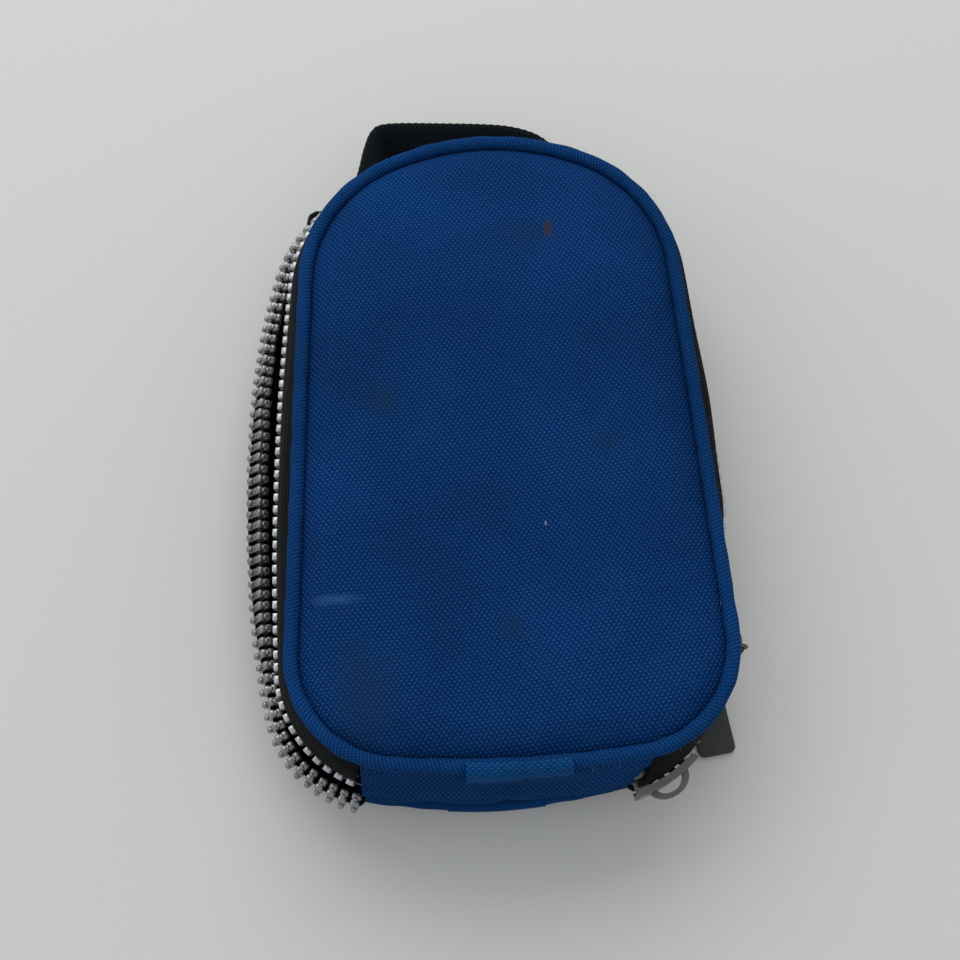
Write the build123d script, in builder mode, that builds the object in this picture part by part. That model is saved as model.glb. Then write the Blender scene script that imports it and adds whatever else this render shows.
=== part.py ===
from build123d import *
from math import acos, asin, atan2, cos, degrees, hypot, pi, radians, sin, sqrt
import os

os.makedirs("parts", exist_ok=True)

# Small padded clamshell carry case of woven nylon, lying on its rear panel, with a
# handheld microchip scanner strapped inside. Millimetres. Origin: centre of the rear
# panel's resting face. +Z up through the lid, +Y towards the handle, +X to the right.

# ---- driving dimensions --------------------------------------------------------------
LID_SHIFT_X = 5.0  # the unzipped lid rests a little to the right of the rear shell
LID_SHIFT_Y = 3.0  # and a little towards the handle
PANEL_INSET = 3.55  # from the case's outline to the panel's edge, inside the piping
FABRIC = 0.8
FOAM = 4.2
LINING = 0.6
PIPING_R = 1.75
REAR_PIPING_Z = 3.9
LID_BASE_Z = 36.6  # inner face of the lid's lining
LID_TOP_Z = 43.0
LID_PIPING_Z = 38.9
TAPE = 0.9
LOWER_TAPE_Z = (5.75, 10.5, 15.0, 17.0)  # from the rear piping up to the lower teeth
UPPER_TAPE_Z = (26.6, 28.5, 32.5, 36.95)  # from the upper teeth up to the lid's piping
TAPE_EASE = 0.7  # how much of its bulge a tape has half way up
TOOTH_PITCH = 3.0
TOOTH_LENGTH = 1.4  # along the chain
TOOTH_DEPTH = 2.6  # across the tape
TOOTH_HEIGHT = 4.4
UPPER_TEETH_Z = 22.2
CHAIN_END_TEETH_Z = 19.8  # where the two rows are meshed, between the sliders
GUSSET_HALF = 31.0  # half the width of the fabric hinge
LID_TAPE_START_Y = -34.0  # the lid's own tape stops here, ahead of the parked sliders
END_SLIDER_ANGLE = -59.5  # around the lower right corner
PULLER_SLIDER_ANGLE = -10.0  # along the right side, tail to tail with the other
SLIDER_LENGTH = 15.4
SLIDER_PLATE = 1.2
SLIDER_THROAT = 1.65  # half the gap between a slider's plates
SLIDER_Z = (15.8, 27.8)
FLANGE = 1.0
TAPE_SLOT = 1.1  # half the slot that a tape runs through
POST_Z = 21.6
POST_HEIGHT = 2.0
POST_REACH = 3.0
BAIL_WIDTH = 2.0
BAIL_LENGTH = 10.6
BAIL_HEIGHT = 3.2
BAIL_EYE = 2.0  # height of the eye under the bail
BAIL_ROOT = 0.8
WIRE_R = 0.45
TAG_SIZE = (9.4, 20.0, 1.3)
TAG_END = (56.2, -72.2)  # centre of the tag's free end
TAG_LEAN = 8.0  # degrees
STRAP = 1.6
STRAP_Z = (2.2, 16.8)
HANDLE_START_X = 30.5


# ---- case outlines: five tangent arcs on each side ------------------------------------
def case_shape(top_y, top_r, shoulder_r, widths, corner_r, bottom_y, bottom_r):
    """Half outline as arcs (centre x, centre y, radius, first angle, last angle).

    widths are the half widths at y = -50, -5 and 40. The arcs run clockwise from the
    top centre down the right side: top, shoulder, side, corner, bottom.
    """
    low, mid, high = widths
    # circle through the three points of the side
    bulge = mid - (high + low) / 2
    chord = hypot(90.0, high - low)
    side_r = (chord / 2) ** 2 / (2 * bulge) + bulge / 2
    normal = atan2(-(high - low), 90.0)
    side_x = (high + low) / 2 + (bulge - side_r) * cos(normal)
    side_y = -5.0 + (bulge - side_r) * sin(normal)
    top_centre = top_y - top_r
    bottom_centre = bottom_y + bottom_r

    def between(centre_y, reach, side_reach, sign):
        """Centre of the arc that touches both the end arc and the side arc."""
        gap_x = side_x
        gap_y = side_y - centre_y
        gap = hypot(gap_x, gap_y)
        along = (reach**2 - side_reach**2 + gap**2) / (2 * gap)
        across = sign * sqrt(reach**2 - along**2)
        unit_x = gap_x / gap
        unit_y = gap_y / gap
        return along * unit_x - across * unit_y, centre_y + along * unit_y + across * unit_x

    shoulder = between(top_centre, top_r - shoulder_r, side_r - shoulder_r, -1)
    corner = between(bottom_centre, bottom_r - corner_r, side_r - corner_r, 1)
    a1 = degrees(atan2(shoulder[1] - top_centre, shoulder[0]))
    a2 = degrees(atan2(shoulder[1] - side_y, shoulder[0] - side_x))
    a3 = degrees(atan2(corner[1] - side_y, corner[0] - side_x))
    a4 = degrees(atan2(corner[1] - bottom_centre, corner[0]))
    return [
        (0.0, top_centre, top_r, 90.0, a1),
        (shoulder[0], shoulder[1], shoulder_r, a1, a2),
        (side_x, side_y, side_r, a2, a3),
        (corner[0], corner[1], corner_r, a3, a4),
        (0.0, bottom_centre, bottom_r, a4, -90.0),
    ]


def mixed(first, second, share):
    """Shape parameters part of the way from one outline to another."""
    mix = []
    for a, b in zip(first, second):
        if isinstance(a, tuple):
            mix.append(tuple(p + (q - p) * share for p, q in zip(a, b)))
        else:
            mix.append(a + (b - a) * share)
    return case_shape(*mix)


PANEL_SIZES = (81.0, 62.0, 38.0, (52.45, 50.35, 48.05), 27.0, -81.0, 260.0)
LOWER_EDGE_SIZES = (86.5, 66.0, 41.0, (54.6, 58.4, 53.2), 29.0, -83.2, 262.0)
UPPER_EDGE_SIZES = (84.5, 64.5, 40.0, (54.6, 54.1, 50.9), 29.0, -83.2, 262.0)
PANEL_OUTLINE = case_shape(*PANEL_SIZES)
LOWER_EDGE = case_shape(*LOWER_EDGE_SIZES)
UPPER_EDGE = case_shape(*UPPER_EDGE_SIZES)
CORNER_X, CORNER_Y, CORNER_R = LOWER_EDGE[3][:3]


def on_arc(arc, angle, out=0.0):
    """Point on an arc at an angle in degrees, moved outwards."""
    x, y, r = arc[:3]
    return x + (r + out) * cos(radians(angle)), y + (r + out) * sin(radians(angle))


def outline(shape, out=0.0, shift=(0.0, 0.0), mode=Mode.ADD):
    """Face inside the case's outline, moved outwards, added to the sketch."""
    with BuildLine() as closed:
        for arc in shape:
            start, end = arc[3], arc[4]
            points = [on_arc(arc, a, out) for a in (start, (start + end) / 2, end)]
            ThreePointArc(*[(shift[0] + x, shift[1] + y) for x, y in points])
            ThreePointArc(*[(shift[0] - x, shift[1] + y) for x, y in points])
    make_face(closed.edges(), mode=mode)


def walk(shape, distance):
    """Point and outward angle at a distance clockwise from the top centre."""
    for arc in shape:
        length = arc[2] * radians(arc[3] - arc[4])
        if distance <= length:
            angle = arc[3] - degrees(distance / arc[2])
            return on_arc(arc, angle) + (angle,)
        distance -= length
    return on_arc(shape[-1], -90.0) + (-90.0,)


def half_length(shape):
    return sum(arc[2] * radians(arc[3] - arc[4]) for arc in shape)


def tape_wall(levels, shapes, shift=(0.0, 0.0)):
    """Thin wall lofted through an outline at each level."""
    for out, mode in ((TAPE / 2, Mode.ADD), (-TAPE / 2, Mode.SUBTRACT)):
        sections = []
        for level, (shape, extra) in zip(levels, shapes):
            with BuildSketch(Plane.XY.offset(level)) as section:
                outline(shape, extra + out, shift)
            sections.append(section.sketch.face())
        loft(sections, ruled=True, mode=mode)


# ---- rear shell ------------------------------------------------------------------------
with BuildPart() as rear_foam:
    with BuildSketch(Plane.XY.offset(FABRIC)):
        outline(PANEL_OUTLINE, -PANEL_INSET - FABRIC)
    extrude(amount=FOAM)
    fillet(rear_foam.faces().sort_by(Axis.Z)[0].edges(), 1.8)
rear_foam.part.label = "rear_foam"
export_step(rear_foam.part, "parts/rear_foam.step")

with BuildPart() as rear_panel:
    with BuildSketch():
        outline(PANEL_OUTLINE, -PANEL_INSET)
    extrude(amount=FABRIC + FOAM)
    fillet(rear_panel.faces().sort_by(Axis.Z)[0].edges(), 2.6)
    add(rear_foam.part, mode=Mode.SUBTRACT)
rear_panel.part.label = "rear_panel"
export_step(rear_panel.part, "parts/rear_panel.step")

with BuildPart() as rear_lining:
    with BuildSketch(Plane.XY.offset(FABRIC + FOAM)):
        outline(PANEL_OUTLINE, -PANEL_INSET)
    extrude(amount=LINING)
rear_lining.part.label = "rear_lining"
export_step(rear_lining.part, "parts/rear_lining.step")

SLEEVE_HALF = 13.0
SLEEVE_WALL = 0.5
SLEEVE_INSET = -1.0


def piping_ring(level, shift_x, shift_y):
    """Round cord covered in fabric, all the way around a panel."""
    with BuildSketch(Plane.XY.offset(level)) as middle_line:
        outline(PANEL_OUTLINE, -PIPING_R, (shift_x, shift_y))
    top_y = PANEL_SIZES[0] - PIPING_R
    start = Plane(origin=(shift_x, top_y + shift_y, level), z_dir=(1, 0, 0))
    with BuildSketch(start) as section:
        Circle(PIPING_R)
    sweep(section.sketch, path=middle_line.sketch.face().outer_wire())


def piping_sleeve(level, shift_x, shift_y):
    """Folded fabric cover over the place where the piping's two ends meet."""
    arc = PANEL_OUTLINE[4]
    half_angle = degrees(SLEEVE_HALF / arc[2])
    with BuildLine(Plane.XY.offset(level)) as path:
        points = [on_arc(arc, -90.0 + a, -PIPING_R) for a in (-half_angle, 0.0, half_angle)]
        ThreePointArc(*[(x + shift_x, y + shift_y) for x, y in points])
    with BuildSketch(path.wire() ^ 0) as section:
        Circle(PIPING_R + SLEEVE_WALL)
        Circle(PIPING_R + 0.02, mode=Mode.SUBTRACT)
    sweep(section.sketch, path=path.wire())
    # it only covers the outside of the cord, clear of the panel and the fabric hinge
    with BuildSketch(Plane.XY.offset(level - 5)) as covered:
        outline(PANEL_OUTLINE, SLEEVE_INSET, (shift_x, shift_y))
    extrude(covered.sketch, amount=10, mode=Mode.SUBTRACT)


with BuildPart() as rear_piping:
    piping_ring(REAR_PIPING_Z, 0.0, 0.0)
rear_piping.part.label = "rear_piping"
export_step(rear_piping.part, "parts/rear_piping.step")

LOWER_LEVELS = [
    (PANEL_OUTLINE, -PIPING_R),
    (mixed(PANEL_SIZES, LOWER_EDGE_SIZES, TAPE_EASE), -PIPING_R * (1 - TAPE_EASE)),
    (LOWER_EDGE, 0.0),
    (LOWER_EDGE, 0.0),
]
with BuildPart() as lower_zip_tape:
    tape_wall(LOWER_TAPE_Z, LOWER_LEVELS)
    with BuildSketch():
        with Locations((0, -90)):
            Rectangle(2 * GUSSET_HALF, 40)
    extrude(amount=40, mode=Mode.SUBTRACT)
lower_zip_tape.part.label = "lower_zip_tape"
export_step(lower_zip_tape.part, "parts/lower_zip_tape.step")


def tooth_places(shape, first):
    """Tooth points of one row, both sides of the top centre, to the fabric hinge."""
    places = []
    distance = first
    while distance < half_length(shape):
        x, y, angle = walk(shape, distance)
        if y < 0 and x < GUSSET_HALF + TOOTH_LENGTH:
            break
        places.append((x, y, angle))
        if distance > 0:
            places.append((-x, y, 180.0 - angle))
        distance += TOOTH_PITCH
    return places


with BuildPart() as lower_zip_teeth:
    for x, y, angle in tooth_places(LOWER_EDGE, TOOTH_PITCH / 2):
        with Locations(Location((x, y, LOWER_TAPE_Z[-1]), (0, 0, angle))):
            Box(
                TOOTH_DEPTH,
                TOOTH_LENGTH,
                TOOTH_HEIGHT,
                align=(Align.CENTER, Align.CENTER, Align.MIN),
            )
lower_zip_teeth.part.label = "lower_zip_teeth"
export_step(lower_zip_teeth.part, "parts/lower_zip_teeth.step")

# ---- meshed end of the chain, between the two parked sliders ----------------------------
CHAIN_END_ANGLES = (END_SLIDER_ANGLE - 7.0, PULLER_SLIDER_ANGLE + 0.85)
with BuildPart() as chain_end_teeth:
    for x, y, angle in tooth_places(LOWER_EDGE, 0.0):
        if x > 0 and CHAIN_END_ANGLES[0] < angle < CHAIN_END_ANGLES[1]:
            with Locations(Location((x, y, CHAIN_END_TEETH_Z), (0, 0, angle))):
                Box(
                    TOOTH_DEPTH,
                    TOOTH_LENGTH,
                    TOOTH_HEIGHT,
                    align=(Align.CENTER, Align.CENTER, Align.MIN),
                )
chain_end_teeth.part.label = "chain_end_teeth"
export_step(chain_end_teeth.part, "parts/chain_end_teeth.step")


def sector(arc, inner, outer, first, last):
    """Flat sector along an arc of the zip's path, as a face of the sketch."""
    middle = (first + last) / 2
    with BuildLine() as closed:
        ThreePointArc(*[on_arc(arc, a, outer) for a in (first, middle, last)])
        Line(on_arc(arc, last, outer), on_arc(arc, last, inner))
        ThreePointArc(*[on_arc(arc, a, inner) for a in (last, middle, first)])
        Line(on_arc(arc, first, inner), on_arc(arc, first, outer))
    make_face(closed.edges())


def slider_body(arc, centre, nose):
    """Two curved plates with inturned flanges, joined by the wedge post at the nose.

    nose is +1 where the slider opens towards larger angles, and -1 the other way.
    """
    low, high = SLIDER_Z
    degree = degrees(1 / arc[2])  # degrees of the arc to a millimetre
    first = centre - degree * SLIDER_LENGTH / 2
    last = centre + degree * SLIDER_LENGTH / 2
    outside = SLIDER_THROAT + SLIDER_PLATE
    with BuildSketch(Plane.XY.offset(low)) as plates:
        sector(arc, SLIDER_THROAT, outside, first, last)
        sector(arc, -outside, -SLIDER_THROAT, first, last)
    extrude(plates.sketch, amount=high - low)
    for level in (low, high - FLANGE):
        with BuildSketch(Plane.XY.offset(level)) as flanges:
            sector(arc, TAPE_SLOT, SLIDER_THROAT, first, last)
            sector(arc, -SLIDER_THROAT, -TAPE_SLOT, first, last)
        extrude(flanges.sketch, amount=FLANGE)
    post_near = centre + nose * degree * (SLIDER_LENGTH / 2 - POST_REACH)
    post_far = centre + nose * degree * (SLIDER_LENGTH / 2 - 0.25)
    with BuildSketch(Plane.XY.offset(POST_Z)) as post:
        sector(arc, -SLIDER_THROAT, SLIDER_THROAT, *sorted((post_near, post_far)))
    extrude(post.sketch, amount=POST_HEIGHT)
    # the plates narrow towards the tail
    tail = centre - nose * degree * SLIDER_LENGTH / 2
    tail_point = on_arc(arc, tail)
    across = Plane(
        origin=(tail_point[0], tail_point[1], (low + high) / 2),
        x_dir=(-nose * sin(radians(tail)), nose * cos(radians(tail)), 0),
        z_dir=(cos(radians(tail)), sin(radians(tail)), 0),
    )
    with BuildSketch(across.offset(-6)) as waste:
        for side in (-1, 1):
            with BuildLine() as triangle:
                Polyline((-2, side * 4.2), (9, side * 8.0), (-2, side * 8.0), close=True)
            make_face(triangle.edges())
    extrude(waste.sketch, amount=12, mode=Mode.SUBTRACT)


def slider_bail(arc, centre):
    """Raised bridge on the outer plate, with the eye that the puller hangs in."""
    outside = SLIDER_THROAT + SLIDER_PLATE
    point = on_arc(arc, centre, outside - BAIL_ROOT)
    side_on = Plane(
        origin=(point[0], point[1], (SLIDER_Z[0] + SLIDER_Z[1]) / 2),
        x_dir=(-sin(radians(centre)), cos(radians(centre)), 0),
        z_dir=(0, 0, -1),
    )
    with BuildSketch(side_on.offset(-BAIL_WIDTH / 2)) as bridge:
        Ellipse(BAIL_LENGTH / 2, BAIL_ROOT + BAIL_HEIGHT)
        Ellipse(BAIL_LENGTH / 2 - 1.6, BAIL_ROOT + BAIL_EYE, mode=Mode.SUBTRACT)
        Rectangle(20, 20, align=(Align.CENTER, Align.MAX), mode=Mode.SUBTRACT)
    extrude(bridge.sketch, amount=BAIL_WIDTH)


with BuildPart() as slider_end:
    slider_body(LOWER_EDGE[3], END_SLIDER_ANGLE, -1)
    slider_bail(LOWER_EDGE[3], END_SLIDER_ANGLE)
slider_end.part.label = "slider_end"
export_step(slider_end.part, "parts/slider_end.step")

with BuildPart() as slider_puller:
    slider_body(LOWER_EDGE[2], PULLER_SLIDER_ANGLE, 1)
    slider_bail(LOWER_EDGE[2], PULLER_SLIDER_ANGLE)
slider_puller.part.label = "slider_puller"
export_step(slider_puller.part, "parts/slider_puller.step")

# ---- fabric hinge and the last of the upper tape: both bend when the lid opens -----------
LID_SHIFT = (LID_SHIFT_X, LID_SHIFT_Y)
LID_PIPING_FOOT = UPPER_TAPE_Z[-1]
WALL_BEND_Z = 28.0  # both lean in to the lid's smaller outline above this height
GUSSET_BELLY = 2.6  # how far the fabric hinge bulges out between the two pipings
GUSSET_END = GUSSET_HALF - 0.3
GUSSET_PROFILE = (
    (-PIPING_R, LOWER_TAPE_Z[0]),
    (GUSSET_BELLY, 15.0),
    (GUSSET_BELLY - LID_SHIFT_Y / 2, WALL_BEND_Z),
    (-PIPING_R - LID_SHIFT_Y, LID_PIPING_FOOT),
)


def beyond_seam(seam_x, top):
    """Side view of all that is right of the seam between fabric hinge and tape end."""
    far = seam_x + 60.0
    slope = LID_SHIFT_X / (LID_PIPING_FOOT - WALL_BEND_Z)
    top_x = seam_x + slope * (top - WALL_BEND_Z)
    with BuildLine() as closed:
        Polyline((seam_x, 0), (seam_x, WALL_BEND_Z), (top_x, top), (far, top), (far, 0), close=True)
    make_face(closed.edges())


with BuildPart() as hinge_gusset:
    centre_y, hinge_r = PANEL_OUTLINE[4][1:3]
    first_angle = -90.0 - degrees(asin(GUSSET_END / hinge_r))
    hinge_arc = 2 * degrees(asin((GUSSET_END + LID_SHIFT_X) / hinge_r))
    edge_on = Plane(
        origin=(0, centre_y, 0),
        x_dir=(cos(radians(first_angle)), sin(radians(first_angle)), 0),
        z_dir=(sin(radians(first_angle)), -cos(radians(first_angle)), 0),
    )
    with BuildSketch(edge_on) as profile:
        outer_line = [(hinge_r + out + FABRIC / 2, z) for out, z in GUSSET_PROFILE]
        inner_line = [(hinge_r + out - FABRIC / 2, z) for out, z in reversed(GUSSET_PROFILE)]
        with BuildLine() as closed:
            Polyline(*outer_line, *inner_line, close=True)
        make_face(closed.edges())
    turn = Axis((0, centre_y, 0), (0, 0, 1))
    revolve(profile.sketch, axis=turn, revolution_arc=hinge_arc)
    with BuildSketch(Plane.XZ) as beyond:
        beyond_seam(GUSSET_END, LID_PIPING_FOOT + 1)
    extrude(beyond.sketch, amount=120, mode=Mode.SUBTRACT)
hinge_gusset.part.label = "hinge_gusset"
export_step(hinge_gusset.part, "parts/hinge_gusset.step")

TAPE_END_FOOT = 24.3
TAPE_END_LEAN = -0.5  # along the side, on average
with BuildPart() as zip_tape_end:
    lid_corner = PANEL_OUTLINE[3]
    lid_corner_x = lid_corner[0] + LID_SHIFT_X
    lid_corner_y = lid_corner[1] + LID_SHIFT_Y
    side_x, side_y, side_r, _, corner_angle = LOWER_EDGE[2]
    for out, mode in ((TAPE / 2, Mode.ADD), (-TAPE / 2, Mode.SUBTRACT)):
        with BuildSketch(Plane.XY.offset(TAPE_END_FOOT)) as foot:
            with Locations((CORNER_X, CORNER_Y)):
                Circle(CORNER_R + out)
        extrude(foot.sketch, amount=WALL_BEND_Z - TAPE_END_FOOT, mode=mode)
        with BuildSketch(Plane.XY.offset(WALL_BEND_Z)) as bend:
            with Locations((CORNER_X, CORNER_Y)):
                Circle(CORNER_R + out)
        with BuildSketch(Plane.XY.offset(LID_PIPING_FOOT)) as lean:
            with Locations((lid_corner_x, lid_corner_y)):
                Circle(lid_corner[2] - PIPING_R + out)
        loft([bend.sketch.face(), lean.sketch.face()], ruled=True, mode=mode)
    # the corner's share runs from the seam with the fabric hinge to where the side begins
    far_x = CORNER_X + 60 * cos(radians(corner_angle))
    far_y = CORNER_Y + 60 * sin(radians(corner_angle))
    with BuildSketch() as corner_share:
        with BuildLine() as closed:
            Polyline((CORNER_X, CORNER_Y), (far_x, far_y), (far_x, -140), (CORNER_X, -140), close=True)
        make_face(closed.edges())
    extrude(corner_share.sketch, amount=40, mode=Mode.INTERSECT)
    with BuildSketch(Plane.XZ.offset(-CORNER_Y)) as beyond:
        beyond_seam(GUSSET_HALF + 0.6, LID_PIPING_FOOT + 1)
    extrude(beyond.sketch, amount=60, mode=Mode.INTERSECT)
    side_on = Plane(
        origin=(side_x, side_y, 0),
        x_dir=(cos(radians(corner_angle)), sin(radians(corner_angle)), 0),
        z_dir=(sin(radians(corner_angle)), -cos(radians(corner_angle)), 0),
    )
    side_profile = ((0.0, TAPE_END_FOOT), (0.0, WALL_BEND_Z), (TAPE_END_LEAN, LID_PIPING_FOOT))
    with BuildSketch(side_on) as profile:
        outer_line = [(side_r + out + TAPE / 2, z) for out, z in side_profile]
        inner_line = [(side_r + out - TAPE / 2, z) for out, z in reversed(side_profile)]
        with BuildLine() as closed:
            Polyline(*outer_line, *inner_line, close=True)
        make_face(closed.edges())
    turn = Axis((side_x, side_y, 0), (0, 0, 1))
    last_angle = degrees(asin((LID_TAPE_START_Y - 0.3 - side_y) / side_r))
    revolve(profile.sketch, axis=turn, revolution_arc=last_angle - corner_angle)
zip_tape_end.part.label = "zip_tape_end"
export_step(zip_tape_end.part, "parts/zip_tape_end.step")

# ---- puller: leaf link hanging from the slider's bail, riveted to a flat tag -------------
CROWN_OUT = SLIDER_THROAT + SLIDER_PLATE + (BAIL_EYE + BAIL_HEIGHT) / 2
CROWN_Z = (SLIDER_Z[0] + SLIDER_Z[1]) / 2
LINK_RING_R = 1.75
LINK_WIDTH = 3.2
LINK_LEAF = 0.7
RIVET_R = 0.85
RIVET_INSET = 3.2
LEAN = radians(TAG_LEAN)
TAG_LOW = 0.12  # the tag lies on what the case rests on
TAG_TOP = TAG_LOW + TAG_SIZE[2]
crown = Vector(*on_arc(LOWER_EDGE[2], PULLER_SLIDER_ANGLE, CROWN_OUT), CROWN_Z)
TAG_REACH = TAG_SIZE[1] - RIVET_INSET
rivet = Vector(TAG_END[0] - TAG_REACH * sin(LEAN), TAG_END[1] + TAG_REACH * cos(LEAN), TAG_TOP)
link_run = Vector(rivet.X - crown.X, rivet.Y - crown.Y, 0)
tag_plane = Plane(origin=(*TAG_END, TAG_LOW), x_dir=(cos(LEAN), sin(LEAN), 0), z_dir=(0, 0, 1))

with BuildPart() as puller_tag:
    with BuildSketch(tag_plane):
        with Locations((0, TAG_SIZE[1] / 2)):
            RectangleRounded(TAG_SIZE[0], TAG_SIZE[1], 1.6)
        with Locations((0, TAG_REACH)):
            Circle(RIVET_R + 0.05, mode=Mode.SUBTRACT)
    extrude(amount=TAG_SIZE[2])
    chamfer(puller_tag.faces().sort_by(Axis.Z)[-1].outer_wire().edges(), 0.25)
puller_tag.part.label = "puller_tag"
export_step(puller_tag.part, "parts/puller_tag.step")

ring_angle = radians(PULLER_SLIDER_ANGLE)
ring_plane = Plane(origin=crown, x_dir=(0, 0, 1), z_dir=(-sin(ring_angle), cos(ring_angle), 0))
leaf_plane = Plane(origin=(crown.X, crown.Y, 0), x_dir=link_run, z_dir=link_run.cross(Vector(0, 0, 1)))
with BuildPart() as puller_link:
    with Locations(ring_plane.location):
        Torus(LINK_RING_R, WIRE_R)
    with BuildSketch(leaf_plane.offset(-LINK_WIDTH / 2)):
        with BuildLine():
            FilletPolyline(
                (0.6, crown.Z - LINK_RING_R - 0.1),
                (link_run.length - 3.4, TAG_TOP + 0.05 + LINK_LEAF),
                (link_run.length + 1.8, TAG_TOP + 0.05 + LINK_LEAF),
                radius=1.2,
            )
            FilletPolyline(
                (-0.5, crown.Z - LINK_RING_R - 0.1),
                (link_run.length - 3.9, TAG_TOP + 0.05),
                (link_run.length + 1.8, TAG_TOP + 0.05),
                radius=1.8,
            )
            Line((0.6, crown.Z - LINK_RING_R - 0.1), (-0.5, crown.Z - LINK_RING_R - 0.1))
            Line(
                (link_run.length + 1.8, TAG_TOP + 0.05 + LINK_LEAF),
                (link_run.length + 1.8, TAG_TOP + 0.05),
            )
        make_face()
    extrude(amount=LINK_WIDTH)
    with BuildSketch(Plane.XY.offset(TAG_LOW)):
        with Locations((rivet.X, rivet.Y)):
            Circle(RIVET_R)
    extrude(amount=4, mode=Mode.SUBTRACT)
puller_link.part.label = "puller_link"
export_step(puller_link.part, "parts/puller_link.step")

with BuildPart() as puller_rivet:
    with BuildSketch(Plane.XY.offset(TAG_LOW + 0.1)):
        with Locations((rivet.X, rivet.Y)):
            Circle(RIVET_R)
    extrude(amount=TAG_SIZE[2] - 0.1 + 0.05 + LINK_LEAF)
    with BuildSketch(Plane.XY.offset(TAG_TOP + 0.05 + LINK_LEAF)):
        with Locations((rivet.X, rivet.Y)):
            Circle(RIVET_R + 0.5)
    extrude(amount=0.5, taper=20)
puller_rivet.part.label = "puller_rivet"
export_step(puller_rivet.part, "parts/puller_rivet.step")

# ---- webbing carry loop: its two ends are sewn along the rear shell's shoulders ----------
ANCHOR_END_X = 43.0
with BuildPart() as handle_anchors:
    with BuildSketch(Plane.XY.offset(STRAP_Z[0])):
        outline(LOWER_EDGE, TAPE / 2 + 0.05 + STRAP)
        outline(LOWER_EDGE, TAPE / 2 + 0.05, mode=Mode.SUBTRACT)
        with Locations((0, 60)):
            Rectangle(2 * ANCHOR_END_X, 100, mode=Mode.INTERSECT)
        Rectangle(2 * HANDLE_START_X, 250, mode=Mode.SUBTRACT)
    extrude(amount=STRAP_Z[1] - STRAP_Z[0])
handle_anchors.part.label = "handle_anchors"
export_step(handle_anchors.part, "parts/handle_anchors.step")

START_OUT = TAPE / 2 + 0.05 + STRAP / 2
start_x = HANDLE_START_X - 1.2
shoulder_x, shoulder_y, shoulder_r = LOWER_EDGE[1][:3]
start_y = shoulder_y + sqrt((shoulder_r + START_OUT) ** 2 - (start_x - shoulder_x) ** 2)
with BuildPart() as handle_loop:
    with BuildSketch(Plane.XY.offset(STRAP_Z[0])):
        with BuildLine():
            FilletPolyline(
                (-start_x, start_y),
                (-27.0, 93.0),
                (-22.5, 103.3),
                (14.0, 101.2),
                (25.0, 95.6),
                (start_x, start_y),
                radius=(7.0, 3.4, 12.0, 6.0),
            )
        trace(line_width=STRAP)
    extrude(amount=STRAP_Z[1] - STRAP_Z[0])
handle_loop.part.label = "handle_loop"
export_step(handle_loop.part, "parts/handle_loop.step")

# ---- lid -------------------------------------------------------------------------------
LID_FOAM_Z = LID_BASE_Z + LINING
with BuildPart() as front_foam:
    with BuildSketch(Plane.XY.offset(LID_FOAM_Z)):
        outline(PANEL_OUTLINE, -PANEL_INSET - FABRIC, LID_SHIFT)
    extrude(amount=LID_TOP_Z - FABRIC - LID_FOAM_Z)
    fillet(front_foam.faces().sort_by(Axis.Z)[-1].edges(), 3.4)
front_foam.part.label = "front_foam"
export_step(front_foam.part, "parts/front_foam.step")

with BuildPart() as front_panel:
    with BuildSketch(Plane.XY.offset(LID_FOAM_Z)):
        outline(PANEL_OUTLINE, -PANEL_INSET, LID_SHIFT)
    extrude(amount=LID_TOP_Z - LID_FOAM_Z)
    fillet(front_panel.faces().sort_by(Axis.Z)[-1].edges(), 4.2)
    add(front_foam.part, mode=Mode.SUBTRACT)
front_panel.part.label = "front_panel"
export_step(front_panel.part, "parts/front_panel.step")

with BuildPart() as front_lining:
    with BuildSketch(Plane.XY.offset(LID_BASE_Z)):
        outline(PANEL_OUTLINE, -PANEL_INSET, LID_SHIFT)
    extrude(amount=LINING)
front_lining.part.label = "front_lining"
export_step(front_lining.part, "parts/front_lining.step")

with BuildPart() as front_piping:
    piping_ring(LID_PIPING_Z, LID_SHIFT_X, LID_SHIFT_Y)
front_piping.part.label = "front_piping"
export_step(front_piping.part, "parts/front_piping.step")

with BuildPart() as front_piping_join:
    piping_sleeve(LID_PIPING_Z, LID_SHIFT_X, LID_SHIFT_Y)
front_piping_join.part.label = "front_piping_join"
export_step(front_piping_join.part, "parts/front_piping_join.step")

with BuildPart() as rear_piping_join:
    piping_sleeve(REAR_PIPING_Z, 0.0, 0.0)
rear_piping_join.part.label = "rear_piping_join"
export_step(rear_piping_join.part, "parts/rear_piping_join.step")

UPPER_LEVELS = [
    (UPPER_EDGE, 0.0),
    (UPPER_EDGE, 0.0),
    (mixed(PANEL_SIZES, UPPER_EDGE_SIZES, TAPE_EASE), -PIPING_R * (1 - TAPE_EASE)),
    (PANEL_OUTLINE, -PIPING_R),
]
with BuildPart() as upper_zip_tape:
    tape_wall(UPPER_TAPE_Z, UPPER_LEVELS, LID_SHIFT)
    with BuildSketch(Plane.XY.offset(UPPER_TAPE_Z[0])):
        with Locations((-GUSSET_HALF - 0.2 + 60, LID_TAPE_START_Y - 30)):
            Rectangle(120, 60)
    extrude(amount=40, mode=Mode.SUBTRACT)
upper_zip_tape.part.label = "upper_zip_tape"
export_step(upper_zip_tape.part, "parts/upper_zip_tape.step")

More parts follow.
